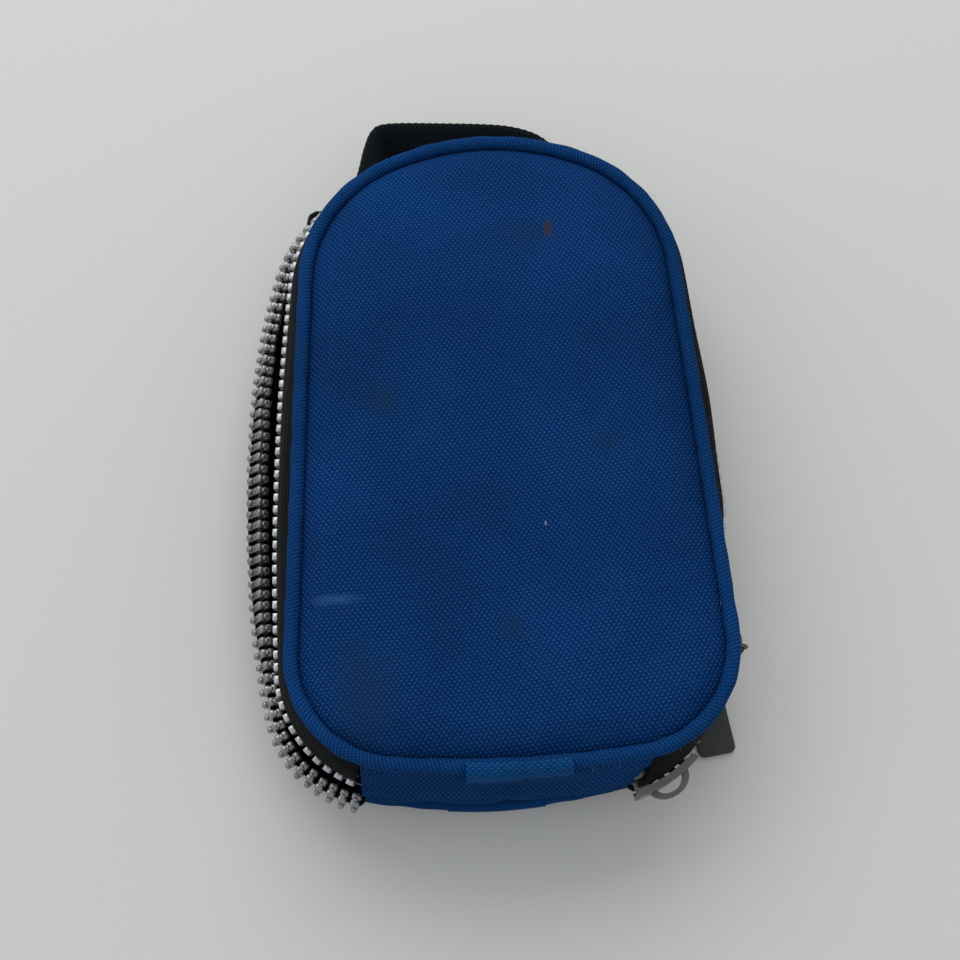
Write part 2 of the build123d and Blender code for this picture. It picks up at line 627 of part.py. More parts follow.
with BuildPart() as upper_zip_teeth:
    for x, y, angle in tooth_places(UPPER_EDGE, 0.0):
        x += LID_SHIFT_X
        y += LID_SHIFT_Y
        if x < -GUSSET_HALF - 1 or y > LID_TAPE_START_Y + 2:
            with Locations(Location((x, y, UPPER_TEETH_Z), (0, 0, angle))):
                Box(
                    TOOTH_DEPTH,
                    TOOTH_LENGTH,
                    TOOTH_HEIGHT,
                    align=(Align.CENTER, Align.CENTER, Align.MIN),
                )
upper_zip_teeth.part.label = "upper_zip_teeth"
export_step(upper_zip_teeth.part, "parts/upper_zip_teeth.step")

# ---- mesh pocket on the lid's lining, with a bound mouth --------------------------------
POCKET = 0.6
POCKET_MOUTH_Y = 22.0
with BuildPart() as mesh_pocket:
    with BuildSketch(Plane.XY.offset(LID_BASE_Z - POCKET)):
        outline(PANEL_OUTLINE, -PANEL_INSET - 1, LID_SHIFT)
        with Locations((0, POCKET_MOUTH_Y + 60)):
            Rectangle(200, 120, mode=Mode.SUBTRACT)
    extrude(amount=POCKET)
mesh_pocket.part.label = "mesh_pocket"
export_step(mesh_pocket.part, "parts/mesh_pocket.step")

with BuildPart() as pocket_binding:
    with BuildSketch(Plane.XY.offset(LID_BASE_Z - 1.2)):
        outline(PANEL_OUTLINE, -PANEL_INSET - 1, LID_SHIFT)
        with Locations((0, POCKET_MOUTH_Y + 4)):
            Rectangle(200, 8, mode=Mode.INTERSECT)
    extrude(amount=1.2)
pocket_binding.part.label = "pocket_binding"
export_step(pocket_binding.part, "parts/pocket_binding.step")

# ---- scanner: paddle-shaped two-shell housing, head towards the handle -------------------
SCAN_LOW = 5.9
SCAN_HIGH = 29.9
SCAN_SPLIT = 17.9
SHELL_WALL = 2.2
HEAD_R = 34.5
HEAD_Y = 30.0
GRIP_WIDTH = 56.0
GRIP_END = -70.0
BUTTON_Y = -4.0
BUTTON_R = 8.0
SCREW_SPOTS = ((-21.5, -58.0), (21.5, -58.0), (-27.8, 28.0), (27.8, 28.0))


def paddle(inset):
    """Round head and straight grip, blended, moved inwards."""
    with Locations((0, HEAD_Y)):
        Circle(HEAD_R - inset)
    grip_length = HEAD_Y - GRIP_END - inset
    with Locations((0, HEAD_Y - grip_length / 2)):
        Rectangle(GRIP_WIDTH - 2 * inset, grip_length)


with BuildPart() as scanner_hull:
    with BuildSketch(Plane.XY.offset(SCAN_LOW)) as hull_shape:
        paddle(0.0)
        corners = hull_shape.vertices().sort_by(Axis.Y)[:2]
        fillet(corners, 13)
        waist = [v for v in hull_shape.vertices() if abs(abs(v.X) - GRIP_WIDTH / 2) < 0.1 and v.Y > 0]
        fillet(waist, 18)
    extrude(amount=SCAN_HIGH - SCAN_LOW)
    fillet(scanner_hull.faces().sort_by(Axis.Z)[0].edges(), 5)
    fillet(scanner_hull.faces().sort_by(Axis.Z)[-1].edges(), 5)
    with BuildSketch(Plane.XY.offset(SCAN_LOW + SHELL_WALL)) as cavity_shape:
        paddle(SHELL_WALL)
        fillet(cavity_shape.vertices().sort_by(Axis.Y)[:2], 11)
    extrude(amount=SCAN_HIGH - SCAN_LOW - 2 * SHELL_WALL, mode=Mode.SUBTRACT)
    with BuildSketch(Plane.XY.offset(SCAN_LOW + SHELL_WALL)):
        with Locations(*SCREW_SPOTS):
            Circle(3.0)
    extrude(amount=SCAN_HIGH - SCAN_LOW - 2 * SHELL_WALL)

with BuildPart() as scanner_front_shell:
    add(scanner_hull.part)
    split(bisect_by=Plane.XY.offset(SCAN_SPLIT), keep=Keep.TOP)
    with BuildSketch(Plane.XY.offset(SCAN_HIGH)):
        with Locations((0, HEAD_Y - 2)):
            Rectangle(36, 20)
        with Locations((0, BUTTON_Y)):
            Circle(BUTTON_R + 0.3)
    extrude(amount=-SHELL_WALL, mode=Mode.SUBTRACT)
    with BuildSketch(Plane.XY.offset(SCAN_HIGH)):
        with Locations((0, HEAD_Y - 2)):
            RectangleRounded(42.2, 26.2, 3)
    extrude(amount=-1.3, mode=Mode.SUBTRACT)
    with BuildSketch(Plane.XY.offset(SCAN_SPLIT)):
        with Locations(*SCREW_SPOTS):
            Circle(1.3)
    extrude(amount=7, mode=Mode.SUBTRACT)
scanner_front_shell.part.label = "scanner_front_shell"
export_step(scanner_front_shell.part, "parts/scanner_front_shell.step")

DOOR_Y = -36.0
DOOR = (34.0, 54.0)
with BuildPart() as scanner_rear_shell:
    add(scanner_hull.part)
    split(bisect_by=Plane.XY.offset(SCAN_SPLIT), keep=Keep.BOTTOM)
    with BuildSketch(Plane.XY.offset(SCAN_LOW)):
        with Locations((0, DOOR_Y)):
            RectangleRounded(DOOR[0], DOOR[1], 3)
    extrude(amount=SHELL_WALL, mode=Mode.SUBTRACT)
    with BuildSketch(Plane.XY.offset(SCAN_LOW)):
        with Locations(*SCREW_SPOTS):
            Circle(1.3)
    extrude(amount=SCAN_SPLIT - SCAN_LOW, mode=Mode.SUBTRACT)
    with BuildSketch(Plane.XY.offset(SCAN_LOW)):
        with Locations(*SCREW_SPOTS):
            Circle(2.4)
    extrude(amount=2.0, mode=Mode.SUBTRACT)
scanner_rear_shell.part.label = "scanner_rear_shell"
export_step(scanner_rear_shell.part, "parts/scanner_rear_shell.step")

with BuildPart() as housing_screws:
    with BuildSketch(Plane.XY.offset(SCAN_LOW + 0.3)):
        with Locations(*SCREW_SPOTS):
            Circle(2.3)
    extrude(amount=1.7)
    with BuildSketch(Plane.XY.offset(SCAN_LOW + 2.0)):
        with Locations(*SCREW_SPOTS):
            Circle(1.29)
    extrude(amount=SCAN_SPLIT - SCAN_LOW + 4)
housing_screws.part.label = "housing_screws"
export_step(housing_screws.part, "parts/housing_screws.step")

with BuildPart() as battery_door:
    with BuildSketch(Plane.XY.offset(SCAN_LOW)):
        with Locations((0, DOOR_Y)):
            RectangleRounded(DOOR[0] - 0.4, DOOR[1] - 0.4, 2.8)
    extrude(amount=SHELL_WALL - 0.2)
battery_door.part.label = "battery_door"
export_step(battery_door.part, "parts/battery_door.step")

BATTERY_R = 7.1
BATTERY_LENGTH = 49.5
BATTERY_Z = SCAN_LOW + SHELL_WALL + BATTERY_R
with BuildPart() as batteries:
    for x in (-7.4, 7.4):
        with BuildSketch(Plane.XZ.offset(-DOOR_Y - BATTERY_LENGTH / 2)):
            with Locations((x, BATTERY_Z)):
                Circle(BATTERY_R)
        extrude(amount=BATTERY_LENGTH)
batteries.part.label = "batteries"
export_step(batteries.part, "parts/batteries.step")

with BuildPart() as battery_contacts:
    for y in (DOOR_Y - BATTERY_LENGTH / 2 - 0.7, DOOR_Y + BATTERY_LENGTH / 2 + 0.7):
        with Locations((0, y, BATTERY_Z)):
            Box(27, 1.2, 10.6)
battery_contacts.part.label = "battery_contacts"
export_step(battery_contacts.part, "parts/battery_contacts.step")

BOARD_LOW = 20.6
BOARD = 1.6
with BuildPart() as circuit_board:
    with Locations((0, 21, BOARD_LOW)):
        Box(40, 62, BOARD, align=(Align.CENTER, Align.CENTER, Align.MIN))
circuit_board.part.label = "circuit_board"
export_step(circuit_board.part, "parts/circuit_board.step")

COIL_R = 23.2
with BuildPart() as coil_former:
    with BuildSketch(Plane.XY.offset(SCAN_LOW + SHELL_WALL)):
        with Locations((0, HEAD_Y)):
            Circle(COIL_R)
            Circle(COIL_R - 2, mode=Mode.SUBTRACT)
    extrude(amount=BOARD_LOW - SCAN_LOW - SHELL_WALL)
coil_former.part.label = "coil_former"
export_step(coil_former.part, "parts/coil_former.step")

with BuildPart() as antenna_coil:
    with BuildSketch(Plane.XY.offset(SCAN_LOW + SHELL_WALL + 1)):
        with Locations((0, HEAD_Y)):
            Circle(COIL_R + 1.4)
            Circle(COIL_R, mode=Mode.SUBTRACT)
    extrude(amount=8)
antenna_coil.part.label = "antenna_coil"
export_step(antenna_coil.part, "parts/antenna_coil.step")

with BuildPart() as lcd_module:
    with Locations((0, HEAD_Y - 2, BOARD_LOW + BOARD)):
        Box(38, 24, 5.3, align=(Align.CENTER, Align.CENTER, Align.MIN))
lcd_module.part.label = "lcd_module"
export_step(lcd_module.part, "parts/lcd_module.step")

with BuildPart() as display_lens:
    with BuildSketch(Plane.XY.offset(SCAN_HIGH - 1.3)):
        with Locations((0, HEAD_Y - 2)):
            RectangleRounded(42, 26, 2.9)
    extrude(amount=1.3)
display_lens.part.label = "display_lens"
export_step(display_lens.part, "parts/display_lens.step")

with BuildPart() as buzzer:
    with Locations((9.0, 46.0, BOARD_LOW + BOARD)):
        Cylinder(5.2, 4.5, align=(Align.CENTER, Align.CENTER, Align.MIN))
buzzer.part.label = "buzzer"
export_step(buzzer.part, "parts/buzzer.step")

with BuildPart() as dome_switch:
    with Locations((0, BUTTON_Y, BOARD_LOW + BOARD)):
        Box(7, 7, 2.4, align=(Align.CENTER, Align.CENTER, Align.MIN))
dome_switch.part.label = "dome_switch"
export_step(dome_switch.part, "parts/dome_switch.step")

BUTTON_LOW = 25.8
with BuildPart() as scan_button:
    with Locations((0, BUTTON_Y, BUTTON_LOW)):
        Cylinder(BUTTON_R, SCAN_HIGH + 0.9 - BUTTON_LOW, align=(Align.CENTER, Align.CENTER, Align.MIN))
        Cylinder(BUTTON_R + 1.4, 1.2, align=(Align.CENTER, Align.CENTER, Align.MIN))
    fillet(scan_button.faces().sort_by(Axis.Z)[-1].edges(), 0.6)
scan_button.part.label = "scan_button"
export_step(scan_button.part, "parts/scan_button.step")

# ---- elastic band that holds the scanner's grip down on the rear lining ------------------
BAND_Y = -46.0
BAND_WIDTH = 25.0
BAND = 1.1
BAND_CORNER = 2.4
BAND_LOW = FABRIC + FOAM + LINING
with BuildPart() as scanner_band:
    with BuildSketch(Plane.XZ.offset(-BAND_Y - BAND_WIDTH / 2)):
        for out, mode in ((BAND, Mode.ADD), (0.0, Mode.SUBTRACT)):
            with BuildLine():
                half = GRIP_WIDTH / 2 + 0.4 + out
                top = SCAN_HIGH + 0.15 + out
                Polyline(
                    (-half, BAND_LOW),
                    (-half, top - BAND_CORNER),
                    (-half + BAND_CORNER, top),
                    (half - BAND_CORNER, top),
                    (half, top - BAND_CORNER),
                    (half, BAND_LOW),
                    close=True,
                )
            make_face(mode=mode)
        for side in (-1, 1):
            foot = side * (GRIP_WIDTH / 2 + 0.4 + 4)
            with Locations((foot, BAND_LOW + BAND / 2)):
                Rectangle(8, BAND)
    extrude(amount=BAND_WIDTH)
scanner_band.part.label = "scanner_band"
export_step(scanner_band.part, "parts/scanner_band.step")
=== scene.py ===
from math import atan2, cos, degrees, exp, hypot, pi, radians, sin, sqrt

import bpy
import numpy as np
from mathutils import Matrix, Vector


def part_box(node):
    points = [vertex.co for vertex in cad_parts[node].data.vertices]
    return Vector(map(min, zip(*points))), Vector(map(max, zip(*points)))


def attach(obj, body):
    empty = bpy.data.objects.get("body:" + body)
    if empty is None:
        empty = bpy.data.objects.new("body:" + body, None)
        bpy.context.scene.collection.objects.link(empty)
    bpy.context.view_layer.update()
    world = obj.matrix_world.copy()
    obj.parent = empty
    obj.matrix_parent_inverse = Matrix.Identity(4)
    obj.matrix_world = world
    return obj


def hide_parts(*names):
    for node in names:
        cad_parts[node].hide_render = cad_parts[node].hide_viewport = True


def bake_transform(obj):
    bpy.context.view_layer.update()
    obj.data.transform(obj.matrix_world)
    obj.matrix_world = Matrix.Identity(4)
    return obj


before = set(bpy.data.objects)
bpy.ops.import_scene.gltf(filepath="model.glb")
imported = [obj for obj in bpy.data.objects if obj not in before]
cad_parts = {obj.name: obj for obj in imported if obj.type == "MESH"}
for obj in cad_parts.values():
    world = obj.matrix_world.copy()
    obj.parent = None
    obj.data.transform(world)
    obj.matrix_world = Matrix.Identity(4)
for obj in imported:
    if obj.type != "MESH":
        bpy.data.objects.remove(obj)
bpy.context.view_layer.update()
rng = np.random.default_rng(11)
MM = 0.001

# ---- sizes of the case, in millimetres ---------------------------------------------------
SHIFT = np.array((5.0, 3.0))  # the lid rests this far to the right and towards the handle
PIPING_R = 1.75
REAR_PIPING_Z = 3.9
LID_PIPING_Z = 38.9
LID_BASE = 36.6
REAR_LINING_TOP = 5.6
LINING = 0.6
FABRIC = 0.8
TAPE = 0.9
PITCH = 3.0
GUSSET_HALF = 31.0
INSET = 3.35  # from the outline in to the edge of a panel
WEBBING = 1.6  # thickness of the strap
STRAP_OUT = TAPE / 2 + 0.95  # from the tape's middle out to the strap's
LOWER_TOOTH_Z = 17.1
UPPER_TOOTH_Z = 26.5
CHAIN_END_Z = 19.6


def case_shape(top_y, top_r, shoulder_r, widths, corner_r, bottom_y, bottom_r):
    """Right half of the outline as tangent arcs (centre x, y, radius, first angle, last angle)."""
    low, mid, high = widths
    bulge = mid - (high + low) / 2
    chord = hypot(90.0, high - low)
    side_r = (chord / 2) ** 2 / (2 * bulge) + bulge / 2
    normal = atan2(-(high - low), 90.0)
    side_x = (high + low) / 2 + (bulge - side_r) * cos(normal)
    side_y = -5.0 + (bulge - side_r) * sin(normal)
    top_centre = top_y - top_r
    bottom_centre = bottom_y + bottom_r

    def between(centre_y, reach, side_reach, sign):
        gap_x, gap_y = side_x, side_y - centre_y
        gap = hypot(gap_x, gap_y)
        along_gap = (reach**2 - side_reach**2 + gap**2) / (2 * gap)
        across = sign * sqrt(reach**2 - along_gap**2)
        ux, uy = gap_x / gap, gap_y / gap
        return along_gap * ux - across * uy, centre_y + along_gap * uy + across * ux

    shoulder = between(top_centre, top_r - shoulder_r, side_r - shoulder_r, -1)
    corner = between(bottom_centre, bottom_r - corner_r, side_r - corner_r, 1)
    a1 = degrees(atan2(shoulder[1] - top_centre, shoulder[0]))
    a2 = degrees(atan2(shoulder[1] - side_y, shoulder[0] - side_x))
    a3 = degrees(atan2(corner[1] - side_y, corner[0] - side_x))
    a4 = degrees(atan2(corner[1] - bottom_centre, corner[0]))
    return [
        (0.0, top_centre, top_r, 90.0, a1),
        (shoulder[0], shoulder[1], shoulder_r, a1, a2),
        (side_x, side_y, side_r, a2, a3),
        (corner[0], corner[1], corner_r, a3, a4),
        (0.0, bottom_centre, bottom_r, a4, -90.0),
    ]


PANEL_SIZES = (81.0, 62.0, 38.0, (52.45, 50.35, 48.05), 27.0, -81.0, 260.0)
LOWER_SIZES = (86.5, 66.0, 41.0, (54.6, 58.4, 53.2), 29.0, -83.2, 262.0)
UPPER_SIZES = (84.5, 64.5, 40.0, (54.6, 54.1, 50.9), 29.0, -83.2, 262.0)
PANEL = case_shape(*PANEL_SIZES)
LOWER = case_shape(*LOWER_SIZES)
UPPER = case_shape(*UPPER_SIZES)


def half_length(shape):
    return sum(a[2] * radians(a[3] - a[4]) for a in shape)


def round_case(shape, f, out=0.0):
    """Points and outward normals at fractions f of the way round, clockwise from the top."""
    f = np.mod(np.asarray(f, float), 1.0)
    out = np.broadcast_to(np.asarray(out, float), f.shape)
    left = f > 0.5
    d = np.where(left, 1 - f, f) * 2 * half_length(shape)
    point = np.zeros(f.shape + (2,))
    normal = np.zeros(f.shape + (2,))
    start = 0.0
    for k, (cx, cy, r, a0, a1) in enumerate(shape):
        length = r * radians(a0 - a1)
        last = k == len(shape) - 1
        sel = (d >= start) & ((d < start + length) | last)
        angle = np.radians(a0) - (d[sel] - start) / r
        n = np.stack((np.cos(angle), np.sin(angle)), -1)
        normal[sel] = n
        point[sel] = np.array((cx, cy)) + n * (r + out[sel])[..., None]
        start += length
    flip = np.where(left, -1.0, 1.0)
    point[..., 0] *= flip
    normal[..., 0] *= flip
    return point, normal


def fraction_where(shape, test):
    """First fraction, going clockwise, at which test(x, y) is true."""
    f = np.linspace(0, 1, 8001)
    p, _ = round_case(shape, f)
    return f[np.argmax(test(p[:, 0], p[:, 1]))]


def smooth(t):
    t = np.clip(t, 0, 1)
    return t * t * (3 - 2 * t)


def waves(x, y, size, count, seed):
    """Soft random undulation, about -1 to 1, from a few crossing waves."""
    gen = np.random.default_rng(seed)
    total = 0.0
    for _ in range(count):
        a = gen.uniform(0, 2 * pi)
        k = 2 * pi / (size * gen.uniform(0.7, 1.5))
        total = total + np.cos((x * cos(a) + y * sin(a)) * k + gen.uniform(0, 2 * pi))
    return total / sqrt(count)


def grid_mesh(name, P, weave=None, closed_u=False, closed_v=False, caps="", material=None):
    """Mesh over a grid of points P[u, v] in mm; caps closes both ends of u ('u') or of v ('v')."""
    nu, nv = P.shape[:2]
    verts = P.reshape(-1, 3) * MM
    iu, iv = nu if closed_u else nu - 1, nv if closed_v else nv - 1
    i, j = np.meshgrid(np.arange(iu), np.arange(iv), indexing="ij")
    i1, j1 = (i + 1) % nu, (j + 1) % nv
    quads = np.stack((i * nv + j, i1 * nv + j, i1 * nv + j1, i * nv + j1), -1).reshape(-1, 4)
    faces = quads.tolist()
    verts = verts.tolist()
    fans = []
    if "u" in caps:
        fans += [[k for k in range(nv)][::-1], [(nu - 1) * nv + k for k in range(nv)]]
    if "v" in caps:
        fans += [[k * nv for k in range(nu)], [k * nv + nv - 1 for k in range(nu)][::-1]]
    flat = None if weave is None else np.asarray(weave, float)
    extra = []
    for loop in fans:
        middle = np.mean([verts[k] for k in loop], axis=0).tolist()
        verts.append(middle)
        c = len(verts) - 1
        for a, b in zip(loop, loop[1:] + loop[:1]):
            faces.append((b, a, c))
            if flat is not None:
                centre = np.mean([flat[k // nv, k % nv] for k in loop], axis=0)
                extra += [(*flat[b // nv, b % nv], 0), (*flat[a // nv, a % nv], 0), (*centre, 0)]
    mesh = bpy.data.meshes.new(name)
    mesh.from_pydata(verts, [], faces)
    if weave is not None:
        # weave has one more row or column than P where that direction is closed
        w = np.zeros((len(quads), 4, 3))
        for c, (a, b) in enumerate(((i, j), (i + 1, j), (i + 1, j + 1), (i, j + 1))):
            w[:, c, :2] = flat[a.reshape(-1), b.reshape(-1)]
        values = np.concatenate((w.reshape(-1, 3), np.array(extra, float).reshape(-1, 3)))
        layer = mesh.attributes.new("weave", "FLOAT_VECTOR", "CORNER")
        layer.data.foreach_set("vector", values.reshape(-1).astype(np.float32))
    return finish_mesh(name, mesh, material)


def strip_mesh(name, P, along, around, material):
    """Mesh of a strip whose section is a closed loop, with its weave from two distances."""
    U, V = np.meshgrid(along, around, indexing="ij")
    return grid_mesh(name, P, np.stack((U, V), -1), closed_v=True, caps="u", material=material)


def finish_mesh(name, mesh, material):
    mesh.polygons.foreach_set("use_smooth", [True] * len(mesh.polygons))
    mesh.update()
    obj = bpy.data.objects.new(name, mesh)
    bpy.context.scene.collection.objects.link(obj)
    if material:
        mesh.materials.append(material)
    return obj


# ---- materials -----------------------------------------------------------------------------
class Net:
    """A material being wired: small helpers that return output sockets."""

    def __init__(self, name):
        self.material = bpy.data.materials.new(name)
        self.material.use_nodes = True
        self.tree = self.material.node_tree
        self.tree.nodes.clear()
        self.shader = self.tree.nodes.new("ShaderNodeBsdfPrincipled")
        out = self.tree.nodes.new("ShaderNodeOutputMaterial")
        self.tree.links.new(self.shader.outputs[0], out.inputs[0])

    def put(self, socket, value):
        if hasattr(value, "is_output"):
            self.tree.links.new(value, socket)
        elif value is not None:
            socket.default_value = value

    def set(self, **values):
        for key, value in values.items():
            self.put(self.shader.inputs[key.replace("_", " ")], value)
        return self

    def math(self, operation, a, b=None, c=None, clamp=False):
        n = self.tree.nodes.new("ShaderNodeMath")
        n.operation = operation
        n.use_clamp = clamp
        for k, value in enumerate((a, b, c)):
            self.put(n.inputs[k], value)
        return n.outputs[0]

    def mix(self, share, a, b, blend="MIX"):
        n = self.tree.nodes.new("ShaderNodeMix")
        n.data_type = "RGBA"
        n.blend_type = blend
        self.put(n.inputs[0], share)
        self.put(n.inputs[6], a if hasattr(a, "is_output") else (*a, 1))
        self.put(n.inputs[7], b if hasattr(b, "is_output") else (*b, 1))
        return n.outputs[2]

    def noise(self, scale, detail):
        n = self.tree.nodes.new("ShaderNodeTexNoise")
        n.inputs["Scale"].default_value = scale
        n.inputs["Detail"].default_value = detail
        self.put(n.inputs["Vector"], self.place())
        return n.outputs[0]

    def place(self):
        """Object coordinates, which are metres in the case's own frame."""
        return self.tree.nodes.new("ShaderNodeTexCoord").outputs["Object"]

    def split(self, vector):
        n = self.tree.nodes.new("ShaderNodeSeparateXYZ")
        self.put(n.inputs[0], vector)
        return n.outputs

    def weave(self):
        n = self.tree.nodes.new("ShaderNodeAttribute")
        n.attribute_name = "weave"
        return n.outputs["Vector"]

    def map_range(self, value, a, b, c, d):
        n = self.tree.nodes.new("ShaderNodeMapRange")
        for k, v in enumerate((value, a, b, c, d)):
            self.put(n.inputs[k], v)
        return n.outputs[0]

    def bump(self, height, distance, strength):
        n = self.tree.nodes.new("ShaderNodeBump")
        n.inputs["Strength"].default_value = strength
        n.inputs["Distance"].default_value = distance
        self.put(n.inputs["Height"], height)
        self.put(self.shader.inputs["Normal"], n.outputs[0])

    def spot(self, x, y, rx, ry):
        """1 inside a soft-edged oval on the top, at x, y with radii rx, ry in mm."""
        px, py, _ = self.split(self.place())
        wobble = self.math("MULTIPLY", self.math("SUBTRACT", self.noise(160, 4), 0.5), 1.6)
        dx = self.math("DIVIDE", self.math("SUBTRACT", px, x * MM), rx * MM)
        dy = self.math("DIVIDE", self.math("SUBTRACT", py, y * MM), ry * MM)
        square = self.math("ADD", self.math("MULTIPLY", dx, dx), self.math("MULTIPLY", dy, dy))
        r = self.math("SQRT", square)
        return self.map_range(self.math("ADD", r, wobble), 0.35, 1.3, 1.0, 0.0)

    def tint(self, color, tone):
        """The colour made lighter or darker by a grey factor."""
        grey = self.tree.nodes.new("ShaderNodeCombineXYZ")
        for k in range(3):
            self.put(grey.inputs[k], tone)
        return self.mix(1.0, color, grey.outputs[0], "MULTIPLY")


def woven(name, dark, light, warp, weft, relief, stains=(), sheen=0.0, shear=0.0):
    """Plain weave: rows of staggered bright threads, warp and weft pitches in mm."""
    net = Net(name)
    u, v, _ = net.split(net.weave())
    drift = net.math("MULTIPLY", net.math("SUBTRACT", net.noise(38, 2), 0.5), 1.6)
    u = net.math("ADD", net.math("ADD", u, net.math("MULTIPLY", v, shear)), drift)
    v = net.math("ADD", v, drift)
    across = net.math("COSINE", net.math("MULTIPLY", u, pi / warp))
    along = net.math("COSINE", net.math("MULTIPLY", v, pi / weft))
    knot = net.map_range(net.math("MULTIPLY", across, along), -1.0, 1.0, 0.0, 1.0)
    # rows stand apart: dark between two of them
    row = net.math("MULTIPLY_ADD", net.math("MULTIPLY", along, along), 0.65, 0.35)
    knot = net.math("MULTIPLY", knot, row)
    thread = net.noise(2600, 2)
    height = net.math("ADD", knot, net.math("MULTIPLY", thread, 0.35))
    fray = net.math("MULTIPLY", net.math("SUBTRACT", thread, 0.5), 0.55)
    knot = net.math("ADD", net.math("POWER", knot, 1.25), fray, clamp=True)
    color = net.mix(knot, dark, light)
    worn = net.map_range(net.noise(26, 4), 0.35, 0.7, 0.84, 1.16)
    color = net.tint(color, worn)
    for x, y, rx, ry, tone, share in stains:
        color = net.mix(net.math("MULTIPLY", net.spot(x, y, rx, ry), share), color, tone)
    net.set(Base_Color=color, Roughness=0.9, Specular_IOR_Level=0.05)
    net.set(Sheen_Weight=sheen, Sheen_Roughness=0.5)
    net.bump(height, relief * MM, 0.8)
    return net.material


BLUE_DARK = (0.0008, 0.0170, 0.092)
BLUE_LIGHT = (0.0120, 0.0850, 0.270)
SMUDGE = (0.010, 0.026, 0.050)
STAINS = (
    # brown mark near the top, greenish smudges, a rubbed patch and the darker lower left
    (20.0, 55.0, 1.0, 2.6, (0.055, 0.030, 0.014), 0.85),
    (14.5, 54.0, 7.0, 4.0, SMUDGE, 0.25),
    (-22.5, 11.5, 4.0, 4.5, SMUDGE, 0.38),
    (29.4, -1.7, 3.0, 3.0, SMUDGE, 0.32),
    (5.2, -46.0, 3.2, 3.6, SMUDGE, 0.36),
    (-29.5, -60.5, 7.0, 14.0, SMUDGE, 0.42),
    (-34.8, -37.0, 4.5, 1.4, (0.03, 0.11, 0.27), 0.55),
    (14.4, -21.4, 0.3, 0.6, (0.30, 0.38, 0.46), 0.7),
)
blue = woven("blue_weave", BLUE_DARK, BLUE_LIGHT, 0.60, 0.80, 0.16, STAINS)
blue_plain = woven("blue_weave_plain", BLUE_DARK, BLUE_LIGHT, 0.60, 0.80, 0.16)
piping_blue = woven(
    "piping_weave", (0.0008, 0.019, 0.100), (0.012, 0.098, 0.290), 0.50, 0.55, 0.14, shear=0.3
)
sleeve_blue = woven("sleeve_weave", (0.0015, 0.034, 0.135), (0.015, 0.112, 0.310), 0.7, 0.5, 0.14)
hinge_blue = woven("hinge_weave", (0.0008, 0.018, 0.088), (0.010, 0.080, 0.240), 0.60, 0.80, 0.14)
tape_black = woven(
    "tape_weave", (0.0006, 0.0009, 0.0012), (0.0035, 0.0050, 0.0065), 0.55, 0.42, 0.10, sheen=0.05
)
lining_black = woven(
    "lining_weave", (0.006, 0.006, 0.0065), (0.016, 0.016, 0.017), 0.35, 0.35, 0.05, sheen=0.04
)
elastic_black = woven(
    "elastic_weave", (0.004, 0.004, 0.0045), (0.02, 0.02, 0.022), 0.45, 1.1, 0.2, sheen=0.08
)


def herringbone(name):
    """Webbing: chevrons of thick threads running along the strap."""
    net = Net(name)
    u, v, _ = net.split(net.weave())
    fold = net.math("PINGPONG", v, 1.8)
    slant = net.math("ADD", u, net.math("MULTIPLY", fold, 1.1))
    rows = net.math("COSINE", net.math("MULTIPLY", slant, 2 * pi / 1.15))
    thread = net.noise(2200, 2)
    rows = net.map_range(rows, -1, 1, 0, 1)
    seam = net.math("PINGPONG", net.math("ADD", v, 0.9), 0.9)
    height = net.math("ADD", net.math("MULTIPLY", rows, seam), thread)
    color = net.mix(rows, (0.0010, 0.0022, 0.0032), (0.009, 0.018, 0.024))
    color = net.mix(net.math("MULTIPLY", thread, 0.35), color, (0.020, 0.026, 0.030))
    net.set(Base_Color=color, Roughness=0.8, Sheen_Weight=0.03, Specular_IOR_Level=0.15)
    net.bump(height, 0.22 * MM, 0.9)
    return net.material


def plain(name, color, rough, metallic=0.0, grain=0.0, scale=900.0, vary=0.08):
    """Cast, moulded or stamped surface with slight variation and grain."""
    net = Net(name)
    tone = net.map_range(net.noise(60, 4), 0.3, 0.7, 1 - vary, 1 + vary)
    net.set(Base_Color=net.tint(color, tone), Metallic=metallic)
    net.set(Roughness=net.map_range(net.noise(scale / 3, 3), 0.3, 0.7, rough * 0.85, min(1, rough * 1.15)))
    if grain:
        net.bump(net.noise(scale, 3), grain * MM, 0.6)
    return net.material


webbing = herringbone("webbing_herringbone")
# the lower and upper rows are teeth of one zip; the upper row's lighter grey is painted light, for the
# light on the teeth's tops
tooth_silver = plain("tooth_silver", (0.27, 0.275, 0.28), 0.25, 0.75, 0.02, 1500, 0.16)
plate_silver = plain("plate_silver", (0.50, 0.51, 0.52), 0.30, 0.55, 0.02, 1500, 0.10)
gunmetal = plain("gunmetal", (0.15, 0.142, 0.138), 0.30, 0.95, 0.03, 1200, 0.15)
tag_grey = plain("tag_grey", (0.053, 0.057, 0.062), 0.42, 0.85, 0.02, 1500, 0.12)
zinc = plain("zinc", (0.55, 0.55, 0.56), 0.3, 0.95)
foam_grey = plain("foam_grey", (0.55, 0.55, 0.52), 0.95, 0, 0.25, 700)
housing = plain("housing_grey", (0.33, 0.35, 0.37), 0.5, 0, 0.05, 1400, 0.03)
housing_dark = plain("housing_dark", (0.05, 0.055, 0.06), 0.5, 0, 0.05, 1400, 0.05)
key_green = plain("key_green", (0.035, 0.30, 0.17), 0.6, 0, 0.03, 1400)
board_green = plain("board_green", (0.015, 0.13, 0.05), 0.35)
copper = plain("copper_wire", (0.55, 0.22, 0.10), 0.3, 0.9)
former = plain("former_nylon", (0.62, 0.60, 0.52), 0.5)
black_part = plain("black_part", (0.015, 0.015, 0.016), 0.4)
cell = plain("cell_jacket", (0.42, 0.43, 0.45), 0.3, 0.6)
display = plain("display", (0.20, 0.24, 0.18), 0.25)
glass = Net("window_glass")
